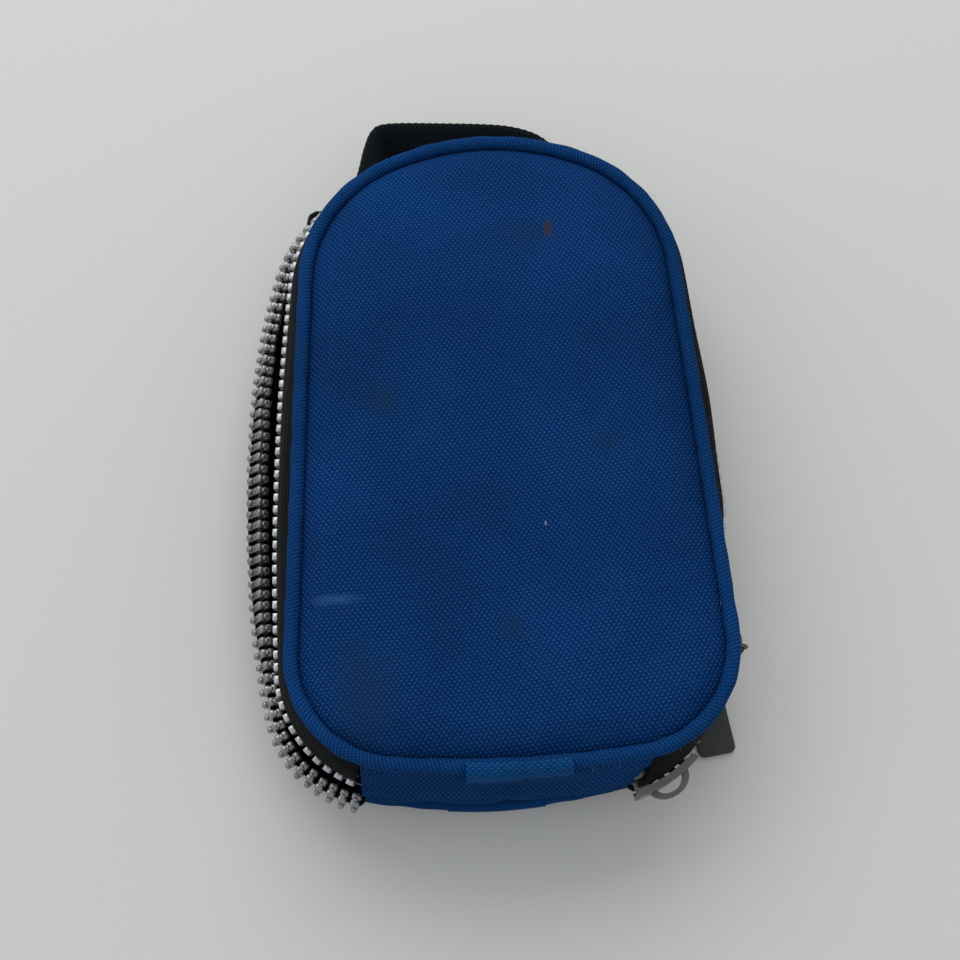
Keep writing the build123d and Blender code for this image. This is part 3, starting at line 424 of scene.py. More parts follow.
glass.set(Base_Color=(0.6, 0.68, 0.66, 1), Roughness=0.05, Transmission_Weight=0.9, IOR=1.49)
mesh_black = plain("mesh_black", (0.012, 0.012, 0.013), 0.75)

LOOKS = {
    "slider_end": gunmetal,
    "slider_puller": gunmetal,
    "puller_link": gunmetal,
    "puller_rivet": zinc,
    "puller_tag": tag_grey,
    "scanner_front_shell": housing,
    "scanner_rear_shell": housing,
    "housing_screws": zinc,
    "battery_door": housing_dark,
    "batteries": cell,
    "battery_contacts": zinc,
    "circuit_board": board_green,
    "coil_former": former,
    "antenna_coil": copper,
    "lcd_module": display,
    "display_lens": glass.material,
    "buzzer": black_part,
    "dome_switch": black_part,
    "scan_button": key_green,
}
for node, look in LOOKS.items():
    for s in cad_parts[node].material_slots:
        s.material = look


# ---- panels --------------------------------------------------------------------------------
FAR = 20.0  # rings follow the outline this far in, then shrink to the middle


def panel_rings(count, steps):
    """x, y and distance from the edge over a panel: rings from the edge to the middle."""
    f = np.arange(count) / count
    rings, depth = [], []
    for d in FAR * (np.linspace(0, 1, steps) ** 1.6):
        p, _ = round_case(PANEL, f, -INSET - d)
        rings.append(p)
        depth.append(np.full(count, d))
    middle = np.array((0.0, -3.0))
    inner = rings[-1]
    for s in np.linspace(1, 0.03, steps + 14)[1:]:
        rings.append(middle + (inner - middle) * s)
        depth.append(np.full(count, FAR + (1 - s) * 32.0))
    return np.array(rings).transpose(1, 0, 2), np.array(depth).T


def puckers(x, y):
    """Short creases that run in from the edge where the fabric was eased round the curve."""
    total = np.zeros_like(x)
    for px, py, angle, length, width, height in PUCKERS:
        a = radians(angle)
        dx, dy = x - px, y - py
        s = dx * cos(a) + dy * sin(a)
        t = -dx * sin(a) + dy * cos(a)
        total = total + height * np.exp(-((s / length) ** 2)) * np.exp(-((t / width) ** 2))
    return total


PUCKERS = (
    (-6.5, 72.0, 80, 6.5, 1.6, 0.34),
    (-10.0, 71.0, 84, 5.5, 1.2, -0.26),
    (-2.5, 72.5, 92, 5.0, 1.3, -0.22),
    (6.5, -68.5, 97, 6.0, 1.7, 0.40),
    (2.5, -69.0, 92, 5.0, 1.3, -0.26),
    (11.0, -68.5, 100, 5.0, 1.5, -0.24),
    (-38.0, -60.0, 40, 7.0, 2.0, 0.26),
    (-45.0, -40.0, 8, 6.0, 2.2, 0.22),
    (44.0, -30.0, 175, 6.0, 2.4, 0.22),
    (40.0, 46.0, 35, 6.0, 2.2, 0.2),
    (-41.0, 40.0, 150, 6.0, 2.0, 0.24),
)


def lid_top(x, y, d):
    """Height of the lid's puffed cover, d mm in from its edge."""
    roll = 1 - (1 - np.clip(d / 9.5, 0, 1)) ** 2.5
    crown = 1 - (1 - np.clip(d / 50.0, 0, 1)) ** 2
    ease = smooth(d / 6.0)
    soft = 0.26 * waves(x, y, 46, 6, 3) + 0.05 * waves(x, y, 12, 8, 4)
    edge = 0.10 * waves(x, y, 8.5, 7, 5) * np.exp(-((d - 3.5) / 3.5) ** 2)
    return 38.35 + 3.75 * roll + 0.62 * crown + ease * soft + edge + ease * puckers(x, y)


def rear_bottom(x, y, d):
    """Height of the rear cover's outside, pressed flat where it rests."""
    roll = 1 - (1 - np.clip(d / 6.5, 0, 1)) ** 2.4
    soft = 0.10 * (1 + waves(x, y, 30, 6, 8)) * (1 - smooth(d / 26.0))
    return 3.9 - 3.86 * roll + np.maximum(soft, 0) * smooth(d / 3.0)


def slab(name, outside, inside, material, count, steps, shift):
    """Closed sheet or pad between two heights, over the panel's outline."""
    xy, d = panel_rings(count, steps)
    x, y = xy[..., 0], xy[..., 1]
    a = np.stack((x + shift[0], y + shift[1], outside(x, y, d)), -1)
    b = np.stack((x + shift[0], y + shift[1], inside(x, y, d)), -1)
    P = np.concatenate((a[:, ::-1], b), 1)
    px, py = P[..., 0], P[..., 1]
    # the weave runs slightly askew and bowed
    rows = py - (0.085 * px + 0.0007 * px**2) + 0.5 * waves(px, py, 70, 4, 9)
    w = np.stack((px + 0.05 * py, rows), -1)
    w = np.concatenate((w, w[:1]), 0)
    return grid_mesh(name, P, w, closed_u=True, caps="v", material=material)


FINE = 620
STEPS = 46
lid_cover = slab(
    "lid_cover",
    lid_top,
    lambda x, y, d: np.maximum(lid_top(x, y, d) - FABRIC, 37.3),
    blue, FINE, STEPS, SHIFT,
)
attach(lid_cover, "lid")
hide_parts("front_panel")

lid_foam = slab(
    "lid_foam",
    lambda x, y, d: np.maximum(lid_top(x, y, d) - FABRIC - 0.05, 37.28),
    lambda x, y, d: np.full_like(x, LID_BASE + LINING),
    foam_grey, 200, 16, SHIFT,
)
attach(lid_foam, "lid")
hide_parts("front_foam")

rear_cover = slab(
    "rear_cover",
    lambda x, y, d: np.minimum(rear_bottom(x, y, d) + FABRIC, 4.95),
    rear_bottom,
    blue_plain, FINE, STEPS, (0, 0),
)
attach(rear_cover, "rear_shell")
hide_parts("rear_panel")

rear_foam = slab(
    "rear_foam_pad",
    lambda x, y, d: np.full_like(x, 4.98),
    lambda x, y, d: np.minimum(rear_bottom(x, y, d) + FABRIC + 0.05, 4.9),
    foam_grey, 200, 16, (0, 0),
)
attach(rear_foam, "rear_shell")
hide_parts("rear_foam")


def panel_area():
    p, _ = round_case(PANEL, np.linspace(0, 1, 2001), -INSET)
    return 0.5 * abs(np.sum(p[:-1, 0] * p[1:, 1] - p[1:, 0] * p[:-1, 1])) * MM * MM


def lining_height(base, sign, seed):
    def height(x, y, d):
        slack = 0.12 * waves(x, y, 26, 7, seed) + 0.05 * waves(x, y, 9, 7, seed + 1)
        return base + sign * np.abs(slack) * smooth(d / 10.0)

    return height


p_flat, _ = round_case(PANEL, np.linspace(0, 1, 400), -INSET)
lid_lining = slab(
    "lid_lining",
    lambda x, y, d: np.full_like(x, LID_BASE + LINING - 0.02),
    lining_height(LID_BASE + 0.22, -1, 21),
    lining_black, 260, 22, SHIFT,
)
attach(lid_lining, "lid")
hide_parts("front_lining")
panel_area()

rear_lining = slab(
    "rear_lining_sheet",
    lining_height(REAR_LINING_TOP - 0.28, 1, 25),
    lambda x, y, d: np.full_like(x, REAR_LINING_TOP - LINING + 0.02),
    lining_black, 260, 22, (0, 0),
)
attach(rear_lining, "rear_shell")
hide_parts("rear_lining")
panel_area()


# ---- piping --------------------------------------------------------------------------------
def piping(name, z, shift, seed, wobble=0.14, out=-PIPING_R):
    """Fabric-covered cord all round the outline, with its own small unevenness."""
    base, normal = round_case(PANEL, ring, out)
    length = np.concatenate(((0,), np.cumsum(np.hypot(*(np.diff(base, axis=0)).T))))
    along = ring * 2 * pi
    gen = np.random.default_rng(seed)
    side = sum(np.cos(k * along + gen.uniform(0, 6)) / k for k in (5, 9, 13, 21)) * wobble
    rise = sum(np.cos(k * along + gen.uniform(0, 6)) / k for k in (4, 7, 11, 19)) * wobble
    thick = 1 + 0.035 * np.cos(37 * along + 1) + 0.03 * np.cos(61 * along)
    around = np.linspace(0, 2 * pi, 21)
    r = PIPING_R * thick[:, None]
    c, s = np.cos(around[:-1])[None], np.sin(around[:-1])[None]
    flat = base[:, None, :] + normal[:, None, :] * (side[:, None] + r * c)[..., None]
    height = z + rise[:, None] + r * s
    P = np.concatenate((flat + np.asarray(shift), height[..., None]), -1)
    length = np.append(length, length[-1] + np.hypot(*(base[0] - base[-1])))
    U, V = np.meshgrid(length, around * PIPING_R, indexing="ij")
    # the cover's threads run nearly across the cord
    w = np.stack((U * 0.98 + V * 0.2, V * 0.98 - U * 0.2), -1)
    return grid_mesh(name, P, w, closed_u=True, closed_v=True, material=piping_blue)


def hinge_push(f):
    """Outward place of the rear piping, which the fabric hinge pushes out at the bottom."""
    return -PIPING_R + 2.0 * np.exp(-(((np.asarray(f) - 0.5) / 0.06) ** 2))


N_PIPE = 900
ring = np.arange(N_PIPE) / N_PIPE
lid_piping = piping("lid_piping", LID_PIPING_Z, SHIFT, 31)
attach(lid_piping, "lid")
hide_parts("front_piping")
rear_piping = piping("rear_piping_cord", REAR_PIPING_Z, (0, 0), 32, wobble=0.12, out=hinge_push(ring))
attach(rear_piping, "rear_shell")
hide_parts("rear_piping")

PANEL_LENGTH = 2 * half_length(PANEL)
SLEEVE_HALF = 12.0


def sleeve(name, z, shift, node, body, seed, cover, droop, pushed=False):
    """Folded fabric cover over the join in the piping, with a kink near its middle."""
    across = np.linspace(-SLEEVE_HALF, SLEEVE_HALF, 70)
    f = 0.5 - across / PANEL_LENGTH
    count = len(f)
    base, normal = round_case(PANEL, f, hinge_push(f) if pushed else -PIPING_R)
    around = np.linspace(-1.75, 1.75, 24)  # radians: open towards the panel
    pinch = 1 - 0.16 * np.exp(-((across - 1.5) / 0.8) ** 2)
    edge = 1 + 0.05 * np.cos(across * 1.7 + seed)
    faces = []
    for extra in (cover, 0.02):
        r = (PIPING_R + extra) * (pinch * (1 + (edge - 1) * extra) if extra > 0.2 else np.ones(count))
        c, s = np.cos(around)[None], np.sin(around)[None]
        flat = base[:, None] + normal[:, None] * (r[:, None] * c * 1.06)[..., None]
        # its lower edge hangs free, most on the side away from the kink
        hang = droop * np.clip(-s, 0, 1) ** 2 * (1.15 - 0.35 * smooth((across + 6) / 14))[:, None]
        flat = flat + normal[:, None] * hang[..., None]
        P = np.concatenate((flat + np.asarray(shift), (z + r[:, None] * s - hang)[..., None]), -1)
        faces.append(P)
    P = np.concatenate((faces[0], faces[1][:, ::-1]), 1)
    look = piping_blue if pushed else sleeve_blue
    o = strip_mesh(name, P, across, np.linspace(0, 16, P.shape[1] + 1), look)
    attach(o, body)
    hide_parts(node)


sleeve("lid_piping_sleeve", LID_PIPING_Z, SHIFT, "front_piping_join", "lid", 2, 0.95, 2.2)
sleeve("rear_piping_sleeve", REAR_PIPING_Z, (0, 0), "rear_piping_join", "rear_shell", 5, 0.16, 0.0, True)


# ---- zip tapes -----------------------------------------------------------------------------
def mixed(a, b, share):
    widths = tuple(x + (y - x) * share for x, y in zip(a[3], b[3]))
    rest = [x + (y - x) * share for k, (x, y) in enumerate(zip(a, b)) if k != 3]
    return case_shape(rest[0], rest[1], rest[2], widths, rest[3], rest[4], rest[5])


def wall(name, levels, f, shift, seed):
    """Ribbed tape standing on edge, through (height, shape, outwards, shift share) at each level."""
    z_levels = np.array([lv[0] for lv in levels])
    count = max(8, int((z_levels[-1] - z_levels[0]) * 3.2))  # rows, 3.2 to a millimetre
    z = np.linspace(z_levels[0], z_levels[-1], count)
    shapes = []
    for lv in levels:
        p, n = round_case(lv[1], f, lv[2])
        moved = np.broadcast_to(np.asarray(lv[3], float), np.shape(f))
        shapes.append((p + np.asarray(shift) * moved[:, None], n))
    pts = np.array([s[0] for s in shapes])
    nrm = np.array([s[1] for s in shapes])
    where = np.interp(z, z_levels, np.arange(len(levels)))
    k = np.minimum(where.astype(int), len(levels) - 2)
    t = (where - k)[:, None, None]
    P = pts[k] * (1 - t) + pts[k + 1] * t
    N = nrm[k] * (1 - t) + nrm[k + 1] * t
    N /= np.linalg.norm(N, axis=-1, keepdims=True)
    length = np.concatenate(((0,), np.cumsum(np.hypot(*np.diff(pts[-1], axis=0).T))))
    rib = 0.09 * np.cos(2 * pi * z / 1.25)[:, None]
    slack = np.sin(pi * np.linspace(0, 1, count))[:, None]
    sway = 0.22 * waves(length[None], z[:, None] * 3, 34, 6, seed) * slack
    ends = smooth(np.minimum(np.arange(len(f)), np.arange(len(f))[::-1]) / 10.0)
    sway = sway * ends[None]
    outer = P + N * (TAPE / 2 + rib + sway)[..., None]
    inner = P + N * (-TAPE / 2 + rib * 0.5 + sway)[..., None]
    zz = np.broadcast_to(z[:, None, None], outer.shape[:2] + (1,))
    A = np.concatenate((outer, zz), -1).transpose(1, 0, 2)
    B = np.concatenate((inner, zz), -1).transpose(1, 0, 2)
    G = np.concatenate((A, B[:, ::-1]), 1)
    return strip_mesh(name, G, length, np.concatenate((z, z[::-1], z[:1])), tape_black)


gusset_f = fraction_where(PANEL, lambda x, y: (y < 0) & (x < GUSSET_HALF))
lower_f = 0.5 + (0.5 - gusset_f) + np.linspace(0, 1, 330) * (2 * gusset_f)
LOWER_LEVELS = (
    (5.2, PANEL, -PIPING_R, 0),
    (10.5, mixed(PANEL_SIZES, LOWER_SIZES, 0.7), -0.525, 0),
    (15.0, LOWER, 0.0, 0),
    (17.6, LOWER, -0.1, 0),
)
lower_tape = wall("lower_tape", LOWER_LEVELS, lower_f, (0, 0), 41)
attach(lower_tape, "rear_shell")
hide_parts("lower_zip_tape")

right_stop = fraction_where(PANEL, lambda x, y: (y < -34.3) & (x > 0))
left_stop = 1 - fraction_where(PANEL, lambda x, y: (y < 0) & (x < GUSSET_HALF + 5.2))
upper_f = left_stop + np.linspace(0, 1, 320) * (1 + right_stop - left_stop)


def meeting(x, y):
    """How nearly the lid's tape has come to the rear shell's line, down the right side."""
    return np.where(np.asarray(x) > 0, smooth((-16.0 - np.asarray(y)) / 18.0), 0.0)


upper_line, _ = round_case(UPPER, upper_f)
meets = meeting(upper_line[:, 0], upper_line[:, 1])
right_f = np.mod(upper_f, 1.0)
# down the right side the lid's tape folds in at its foot, out of sight under the piping
tuck = np.where(right_f < 0.5, smooth((right_f - 0.03) / 0.06), 0.0)
foot = -1.8 * tuck * (1 - meets) + 1.0 * meets
UPPER_LEVELS = (
    (26.1, UPPER, foot, 1 - meets),
    (28.5, UPPER, foot + 0.8 * tuck * (1 - meets), 1 - 0.9 * meets),
    (32.5, mixed(PANEL_SIZES, UPPER_SIZES, 0.7), -0.525 + 0.15 * tuck, 1 - 0.45 * meets),
    (37.5, PANEL, -PIPING_R, 1),
)
upper_tape = wall("upper_tape", UPPER_LEVELS, upper_f, SHIFT, 43)
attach(upper_tape, "lid")
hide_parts("upper_zip_tape")

# above the parked sliders the tape stays with the lid; the last of it runs from the rear shell's line up to
# the lid
slider_stop = fraction_where(PANEL, lambda x, y: (y < -61.3) & (x > 0))
side_f = np.linspace(right_stop + 0.0012, slider_stop, 60)
SIDE_LEVELS = (
    (28.7, LOWER, 0.2, 0.1),
    (32.5, mixed(PANEL_SIZES, LOWER_SIZES, 0.55), -0.8, 0.55),
    (37.5, PANEL, -PIPING_R, 1),
)
side_tape = wall("side_tape", SIDE_LEVELS, side_f, SHIFT, 46)
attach(side_tape, "lid")

end_f = np.linspace(slider_stop + 0.0012, gusset_f - 0.001, 60)
END_LEVELS = (
    (24.3, LOWER, 0.0, 0),
    (28.0, LOWER, 0.0, 0.1),
    (32.5, mixed(PANEL_SIZES, LOWER_SIZES, 0.55), -0.8, 0.55),
    (37.5, PANEL, -PIPING_R, 1),
)
tape_end = wall("tape_end", END_LEVELS, end_f, SHIFT, 45)
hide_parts("zip_tape_end")
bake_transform(tape_end)


# ---- zip teeth -----------------------------------------------------------------------------
def blob(centre, half, power):
    """Rounded block: a superellipsoid's points and faces."""
    nu, nv = 12, 9

    def shaped(value, e):
        return np.sign(value) * np.abs(value) ** e

    pts = []
    for latitude in np.linspace(-pi / 2, pi / 2, nv)[1:-1]:
        for longitude in np.linspace(0, 2 * pi, nu, endpoint=False):
            x = half[0] * shaped(cos(latitude), power) * shaped(cos(longitude), power)
            y = half[1] * shaped(cos(latitude), power) * shaped(sin(longitude), power)
            pts.append((x, y, half[2] * shaped(sin(latitude), power)))
    rows = nv - 2
    faces = [
        (r * nu + k, r * nu + (k + 1) % nu, (r + 1) * nu + (k + 1) % nu, (r + 1) * nu + k)
        for r in range(rows - 1)
        for k in range(nu)
    ]
    pts += [(0, 0, -half[2]), (0, 0, half[2])]
    low, high = rows * nu, rows * nu + 1
    faces += [((k + 1) % nu, k, low) for k in range(nu)]
    faces += [((rows - 1) * nu + k, (rows - 1) * nu + (k + 1) % nu, high) for k in range(nu)]
    return np.array(pts) + np.array(centre), faces


# local axes of a tooth: outwards from the case, along the chain, and towards its head
SIDE_TOOTH = [
    ((1.00, 0.0, 0.5), (0.66, 0.92, 1.75), 0.42),
    ((-1.10, 0.0, 0.5), (0.80, 1.00, 1.75), 0.42),
    ((0.80, 0.0, 3.0), (0.88, 1.08, 1.2), 0.5),
    ((-0.80, 0.0, 3.0), (0.88, 1.08, 1.2), 0.5),
    ((0.0, 0.0, 3.1), (0.6, 0.66, 1.3), 0.5),
    ((1.95, 0.0, 0.75), (0.85, 0.80, 1.0), 0.8),
]
PLATE_TOOTH = [
    ((1.02, 0.0, 0.35), (0.70, 0.96, 1.55), 0.22),
    ((-0.98, 0.0, 0.35), (0.62, 0.86, 1.55), 0.3),
    ((0.74, 0.0, 2.95), (0.78, 0.80, 1.2), 0.5),
    ((-0.74, 0.0, 2.95), (0.78, 0.80, 1.2), 0.5),
    ((0.0, 0.0, 3.0), (0.5, 0.6, 1.3), 0.5),
]


def teeth(name, places, blocks, pointing, material, scatter=2.5):
    """One mesh of all teeth of a row; places are (x, y, angle, z, lean)."""
    shapes = [blob(*b) for b in blocks]
    verts, faces = [], []
    for x, y, angle, z, lean in places:
        turn = Matrix.Rotation(radians(angle + rng.normal() * scatter), 3, "Z")
        tilt = Matrix.Rotation(radians(lean + rng.normal() * scatter), 3, "Y")
        m = np.array(turn @ tilt)
        for pts, fcs in shapes:
            local = pts * np.array((1.0, 1.0, pointing))
            start = sum(len(v) for v in verts)
            verts.append(local @ m.T + np.array((x, y, z)))
            order = fcs if pointing > 0 else [f[::-1] for f in fcs]
            faces += [tuple(start + k for k in f) for f in order]
    mesh = bpy.data.meshes.new(name)
    mesh.from_pydata((np.concatenate(verts) * MM).tolist(), [], faces)
    return finish_mesh(name, mesh, material)


def tooth_places(shape, first, out=0.0):
    """x, y and outward angle at each tooth of a row, both ways from the top centre."""
    total = half_length(shape)
    spots = []
    d = first
    while d < total:
        p, n = round_case(shape, [d / (2 * total)], out)
        (x, y), (nx, ny) = p[0], n[0]
        if y < 0 and x < GUSSET_HALF + 1.4:
            break
        spots.append((x, y, degrees(atan2(ny, nx))))
        if d > 0:
            spots.append((-x, y, degrees(atan2(ny, -nx))))
        d += PITCH
    return spots


def lower_lean(x, y):
    """How far the lower teeth lean in over the case: most half way down the left side."""
    return -44.0 * exp(-(((y + 8.0) / 44.0) ** 2)) if x < 0 else -35.0 * smooth((x - 20.0) / 25.0)


lower_places = []
for x, y, a in tooth_places(LOWER, PITCH / 2):
    pull = 1.2 * exp(-(((y + 8.0) / 42.0) ** 2)) if x < 0 else 0.7
    lean = lower_lean(x, y)
    x, y = x - pull * cos(radians(a)), y - pull * sin(radians(a))
    lower_places.append((x, y, a, LOWER_TOOTH_Z, lean))
lower_teeth = teeth("lower_teeth", lower_places, SIDE_TOOTH, 1, tooth_silver)
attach(lower_teeth, "rear_shell")
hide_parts("lower_zip_teeth")

upper_places = []
for x, y, a in tooth_places(UPPER, 0.0):
    folded, met = smooth((x - 25.0) / 20.0), float(meeting(x, y))
    inward = 1.5 * folded * (1 - met) - 1.0 * met
    x += SHIFT[0] * (1 - met) - inward * cos(radians(a))
    y += SHIFT[1] * (1 - met) - inward * sin(radians(a))
    if x < -GUSSET_HALF - 1 or y > -32.0:
        upper_places.append((x, y, a, UPPER_TOOTH_Z, 5.0 + 20.0 * folded))
# the upper teeth's lighter grey is painted light on their tops
upper_teeth = teeth("upper_teeth", upper_places, PLATE_TOOTH, -1, plate_silver, 1.5)
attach(upper_teeth, "lid")
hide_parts("upper_zip_teeth")

end_places = []
for x, y, a in tooth_places(LOWER, 0.0, -1.0):
    if x > 0 and -66.5 < a < -9.1:
        end_places.append((x, y, a, CHAIN_END_Z, 0.0))
chain_end = teeth("chain_end", end_places, SIDE_TOOTH[2:5], 1, tooth_silver, 0.5)
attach(chain_end, "rear_shell")
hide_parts("chain_end_teeth")


# ---- fabric hinge --------------------------------------------------------------------------
def make_gusset():
    nu, nv = ((220, 84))
    s, h = np.meshgrid(np.linspace(0, 1, nu), np.linspace(0, 1, nv), indexing="ij")
    z = 4.6 + h * 33.2
    rise = smooth((z - 24.0) / 13.5)
    x = -31.3 + s * (62.6 + 5.0 * rise) + 0.6 * rise
    levels = (4.6, 6.5, 9.5, 15.0, 22.0, 28.0, 33.0, 37.8)
    out = np.interp(z, levels, (-1.8, -1.0, 0.0, 0.3, 0.5, 0.1, -1.4, -4.4))
    _, cy, r = PANEL[4][:3]
    y = cy - np.sqrt((r + out) ** 2 - x**2)
    hold = np.sin(pi * np.clip(h, 0, 1)) ** 0.6
    crease = (
        0.85 * np.cos(2 * pi * (h * 3.1 + 0.10 * np.sin(x * 0.11) + 0.004 * x))
        + 0.30 * waves(x * 0.35, z, 7.0, 7, 51)
        + 0.35 * np.exp(-(((x + 14) + (z - 20) * 0.9) / 2.4) ** 2)
        - 0.45 * np.exp(-(((x - 6) - (z - 20) * 0.7) / 2.2) ** 2)
        + 0.35 * np.exp(-(((x - 21) + (z - 18) * 0.5) / 2.0) ** 2)
    )
    y = y - hold * crease * 0.85
    outer = np.stack((x, y, z), -1)
    inner = np.stack((x, y + FABRIC, z), -1)
    P = np.concatenate((outer, inner[:, ::-1]), 1)
    hh = np.concatenate((z, z[:, ::-1], z[:, :1]), 1)
    xx = np.concatenate((x, x[:, ::-1], x[:, :1]), 1)
    return grid_mesh("gusset", P, np.stack((xx, hh), -1), closed_v=True, caps="u", material=hinge_blue)


gusset = make_gusset()
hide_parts("hinge_gusset")
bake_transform(gusset)


# ---- webbing handle ------------------------------------------------------------------------
def through(points, count):
    """Smooth curve through points, evenly spaced."""
    p = np.array(points, float)
    p = np.concatenate((2 * p[:1] - p[1:2], p, 2 * p[-1:] - p[-2:-1]))
    line = []
    for k in range(1, len(p) - 2):
        for t in np.linspace(0, 1, 40, endpoint=False):
            a, b, c, d = p[k - 1], p[k], p[k + 1], p[k + 2]
            square, cube = 2 * a - 5 * b + 4 * c - d, 3 * b - a - 3 * c + d
            line.append(0.5 * (2 * b + (c - a) * t + square * t**2 + cube * t**3))
    line = np.array(line + [p[-2]])
    at = np.concatenate(((0,), np.cumsum(np.linalg.norm(np.diff(line, axis=0), axis=1))))
    s = np.linspace(0, at[-1], count)
    return np.stack([np.interp(s, at, line[:, k]) for k in range(line.shape[1])], -1), s


def strap(name, line, s, low, high, seed, lean=0.0, lift=0.0):
    """Webbing standing on edge along a line in plan, with rounded selvedges."""
    tangent = np.gradient(line, axis=0)
    tangent /= np.linalg.norm(tangent, axis=1, keepdims=True)
    side = np.stack((tangent[:, 1], -tangent[:, 0]), -1)
    half = (high - low) / 2
    v = np.linspace(-1, 1, 26)
    bow = np.sqrt(np.clip(1 - np.abs(v) ** 14, 0, 1))
    ribs = 1 + 0.07 * np.cos(2 * pi * v * half / 1.8)
    profile = [(WEBBING / 2 * b * r + 0.02, q) for b, r, q in zip(bow, ribs, v)]
    profile += [(-a, q) for a, q in reversed(profile)]
    profile = np.array(profile)
    lean, lift = np.broadcast_to(lean, len(s)), np.broadcast_to(lift, len(s))
    sway = 0.25 * waves(s, s * 0, 17, 4, seed)
    lean_out = lean[:, None] * (profile[None, :, 1] - 1) * half
    across = profile[None, :, 0] + lean_out + 0.3 * sway[:, None]
    scallop = 1 + 0.02 * np.cos(2 * pi * s / 1.9)
    z = (low + high) / 2 + lift[:, None] + profile[None, :, 1] * half * scallop[:, None]
    xy = line[:, None, :] + side[:, None, :] * across[..., None]
    P = np.concatenate((xy, z[..., None]), -1)
    return strip_mesh(name, P, s, np.append(profile[:, 1], profile[0, 1]) * half, webbing)


LOOP_POINTS = (
    (-30.3, 80.9), (-29.3, 84.8), (-27.9, 90.0), (-26.4, 96.5), (-24.4, 101.4),
    (-20.6, 103.3), (-8.0, 103.0), (4.0, 102.2), (14.0, 100.6),
    (21.5, 97.3), (26.5, 91.6), (29.3, 84.8), (30.3, 80.9),
)
loop_line, loop_s = through(LOOP_POINTS, 200)
share = loop_s / loop_s[-1]
handle = strap(
    "handle_strap",
    loop_line,
    loop_s,
    2.2,
    16.9,
    61,
    lean=-0.55 * np.sqrt(np.clip(np.sin(pi * share), 0, 1)),
    lift=0.25 * np.sin(2 * pi * share * 1.5),
)
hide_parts("handle_loop")
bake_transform(handle)

for sign in (-1, 1):
    reach = np.linspace(29.2, 43.2, 60)
    f0 = np.array([fraction_where(LOWER, lambda x, y, q=q: (x > q) & (y > 0)) for q in reach])
    f_side = f0 if sign > 0 else 1 - f0
    lift_off = (3.2 if sign < 0 else 0.7) * np.exp(-(((reach - 38.3) / 2.2) ** 2))
    line, _ = round_case(LOWER, f_side, STRAP_OUT + lift_off)
    s = np.concatenate(((0,), np.cumsum(np.hypot(*np.diff(line, axis=0).T))))
    o = strap("anchor_strap", line, s, 2.3, 16.6, 63 + sign)
    o.name = "anchor_left" if sign < 0 else "anchor_right"
    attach(o, "rear_shell")
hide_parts("handle_anchors")


def tube_along(name, lines, radius, material, sides=8):
    """Round threads along several 3-D lines, as one mesh."""
    verts, faces = [], []
    for line in lines:
        line = np.asarray(line, float)
        tangent = np.gradient(line, axis=0)
        tangent /= np.linalg.norm(tangent, axis=1, keepdims=True)
        up = np.array((0.13, 0.21, 0.97))
        a = np.cross(tangent, up)
        a /= np.linalg.norm(a, axis=1, keepdims=True)
        b = np.cross(tangent, a)
        start = len(verts)
        n = len(line)
        for k in range(n):
            for q in range(sides):
                t = 2 * pi * q / sides
                verts.append(line[k] + radius * (cos(t) * a[k] + sin(t) * b[k]))
        for k in range(n - 1):
            for q in range(sides):
                w = (q + 1) % sides
                a0, a1 = start + k * sides, start + (k + 1) * sides
                faces.append((a0 + q, a1 + q, a1 + w, a0 + w))
        faces.append(tuple(start + q for q in range(sides)))
        faces.append(tuple(start + (n - 1) * sides + q for q in range(sides))[::-1])
    mesh = bpy.data.meshes.new(name)
    mesh.from_pydata((np.array(verts) * MM).tolist(), [], faces)
    return finish_mesh(name, mesh, material)


# stitches that hold the strap's ends to the tape
thread_black = plain("thread_black", (0.02, 0.021, 0.022), 0.6)
stitches = []
for sign in (-1, 1):
    for x0 in (32.0, 35.4):
        f0 = fraction_where(LOWER, lambda x, y: (x > x0) & (y > 0))
        p, _ = round_case(LOWER, [f0 if sign > 0 else 1 - f0], STRAP_OUT + 0.86)
        for k in range(6):
            z0 = 3.6 + k * 2.1
            stitches.append([(p[0][0], p[0][1], z0 + t * 1.5) for t in np.linspace(0, 1, 4)])
stitch = tube_along("strap_stitches", stitches, 0.16, thread_black)
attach(stitch, "rear_shell")

# ---- elastic band over the scanner ---------------------------------------------------------
band_low, band_high = (np.array(v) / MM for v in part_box("scanner_band"))


def make_band():
    half_foot = band_high[0]
    half = half_foot - 7.3
    top = band_high[2] - 0.55
    foot = band_low[2] + 0.5
    line, s = through(
        (
            (-half_foot + 0.2, foot),
            (-half - 2.2, foot + 0.1),
            (-half + 0.1, foot + 1.6),
            (-half, 12.0),
            (-half, 22.0),
            (-half + 0.2, top - 2.2),
            (-half + 2.2, top - 0.15),
            (-14.0, top),
            (14.0, top),
            (half - 2.2, top - 0.15),
            (half - 0.2, top - 2.2),
            (half, 22.0),
            (half, 12.0),
            (half - 0.1, foot + 1.6),
            (half + 2.2, foot + 0.1),
            (half_foot - 0.2, foot),
        ),
        220,
    )
    tangent = np.gradient(line, axis=0)
    tangent /= np.linalg.norm(tangent, axis=1, keepdims=True)
    normal = np.stack((-tangent[:, 1], tangent[:, 0]), -1)
    y = np.linspace(band_low[1] + 0.1, band_high[1] - 0.1, 80)
    rib = 0.10 * np.cos(2 * pi * y / 1.3)
    faces = []
    for side in (0.5, -0.5):
        q = line[:, None] + normal[:, None] * (side + np.sign(side) * rib[None])[..., None]
        yy = np.broadcast_to(y[None, :, None], q.shape[:2] + (1,))
        faces.append(np.concatenate((q[..., :1], yy, q[..., 1:]), -1))
    P = np.concatenate((faces[0], faces[1][:, ::-1]), 1)
    return strip_mesh("scanner_strap", P, s, np.concatenate((y, y[::-1], y[:1])), elastic_black)


band = make_band()
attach(band, "rear_shell")
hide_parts("scanner_band")


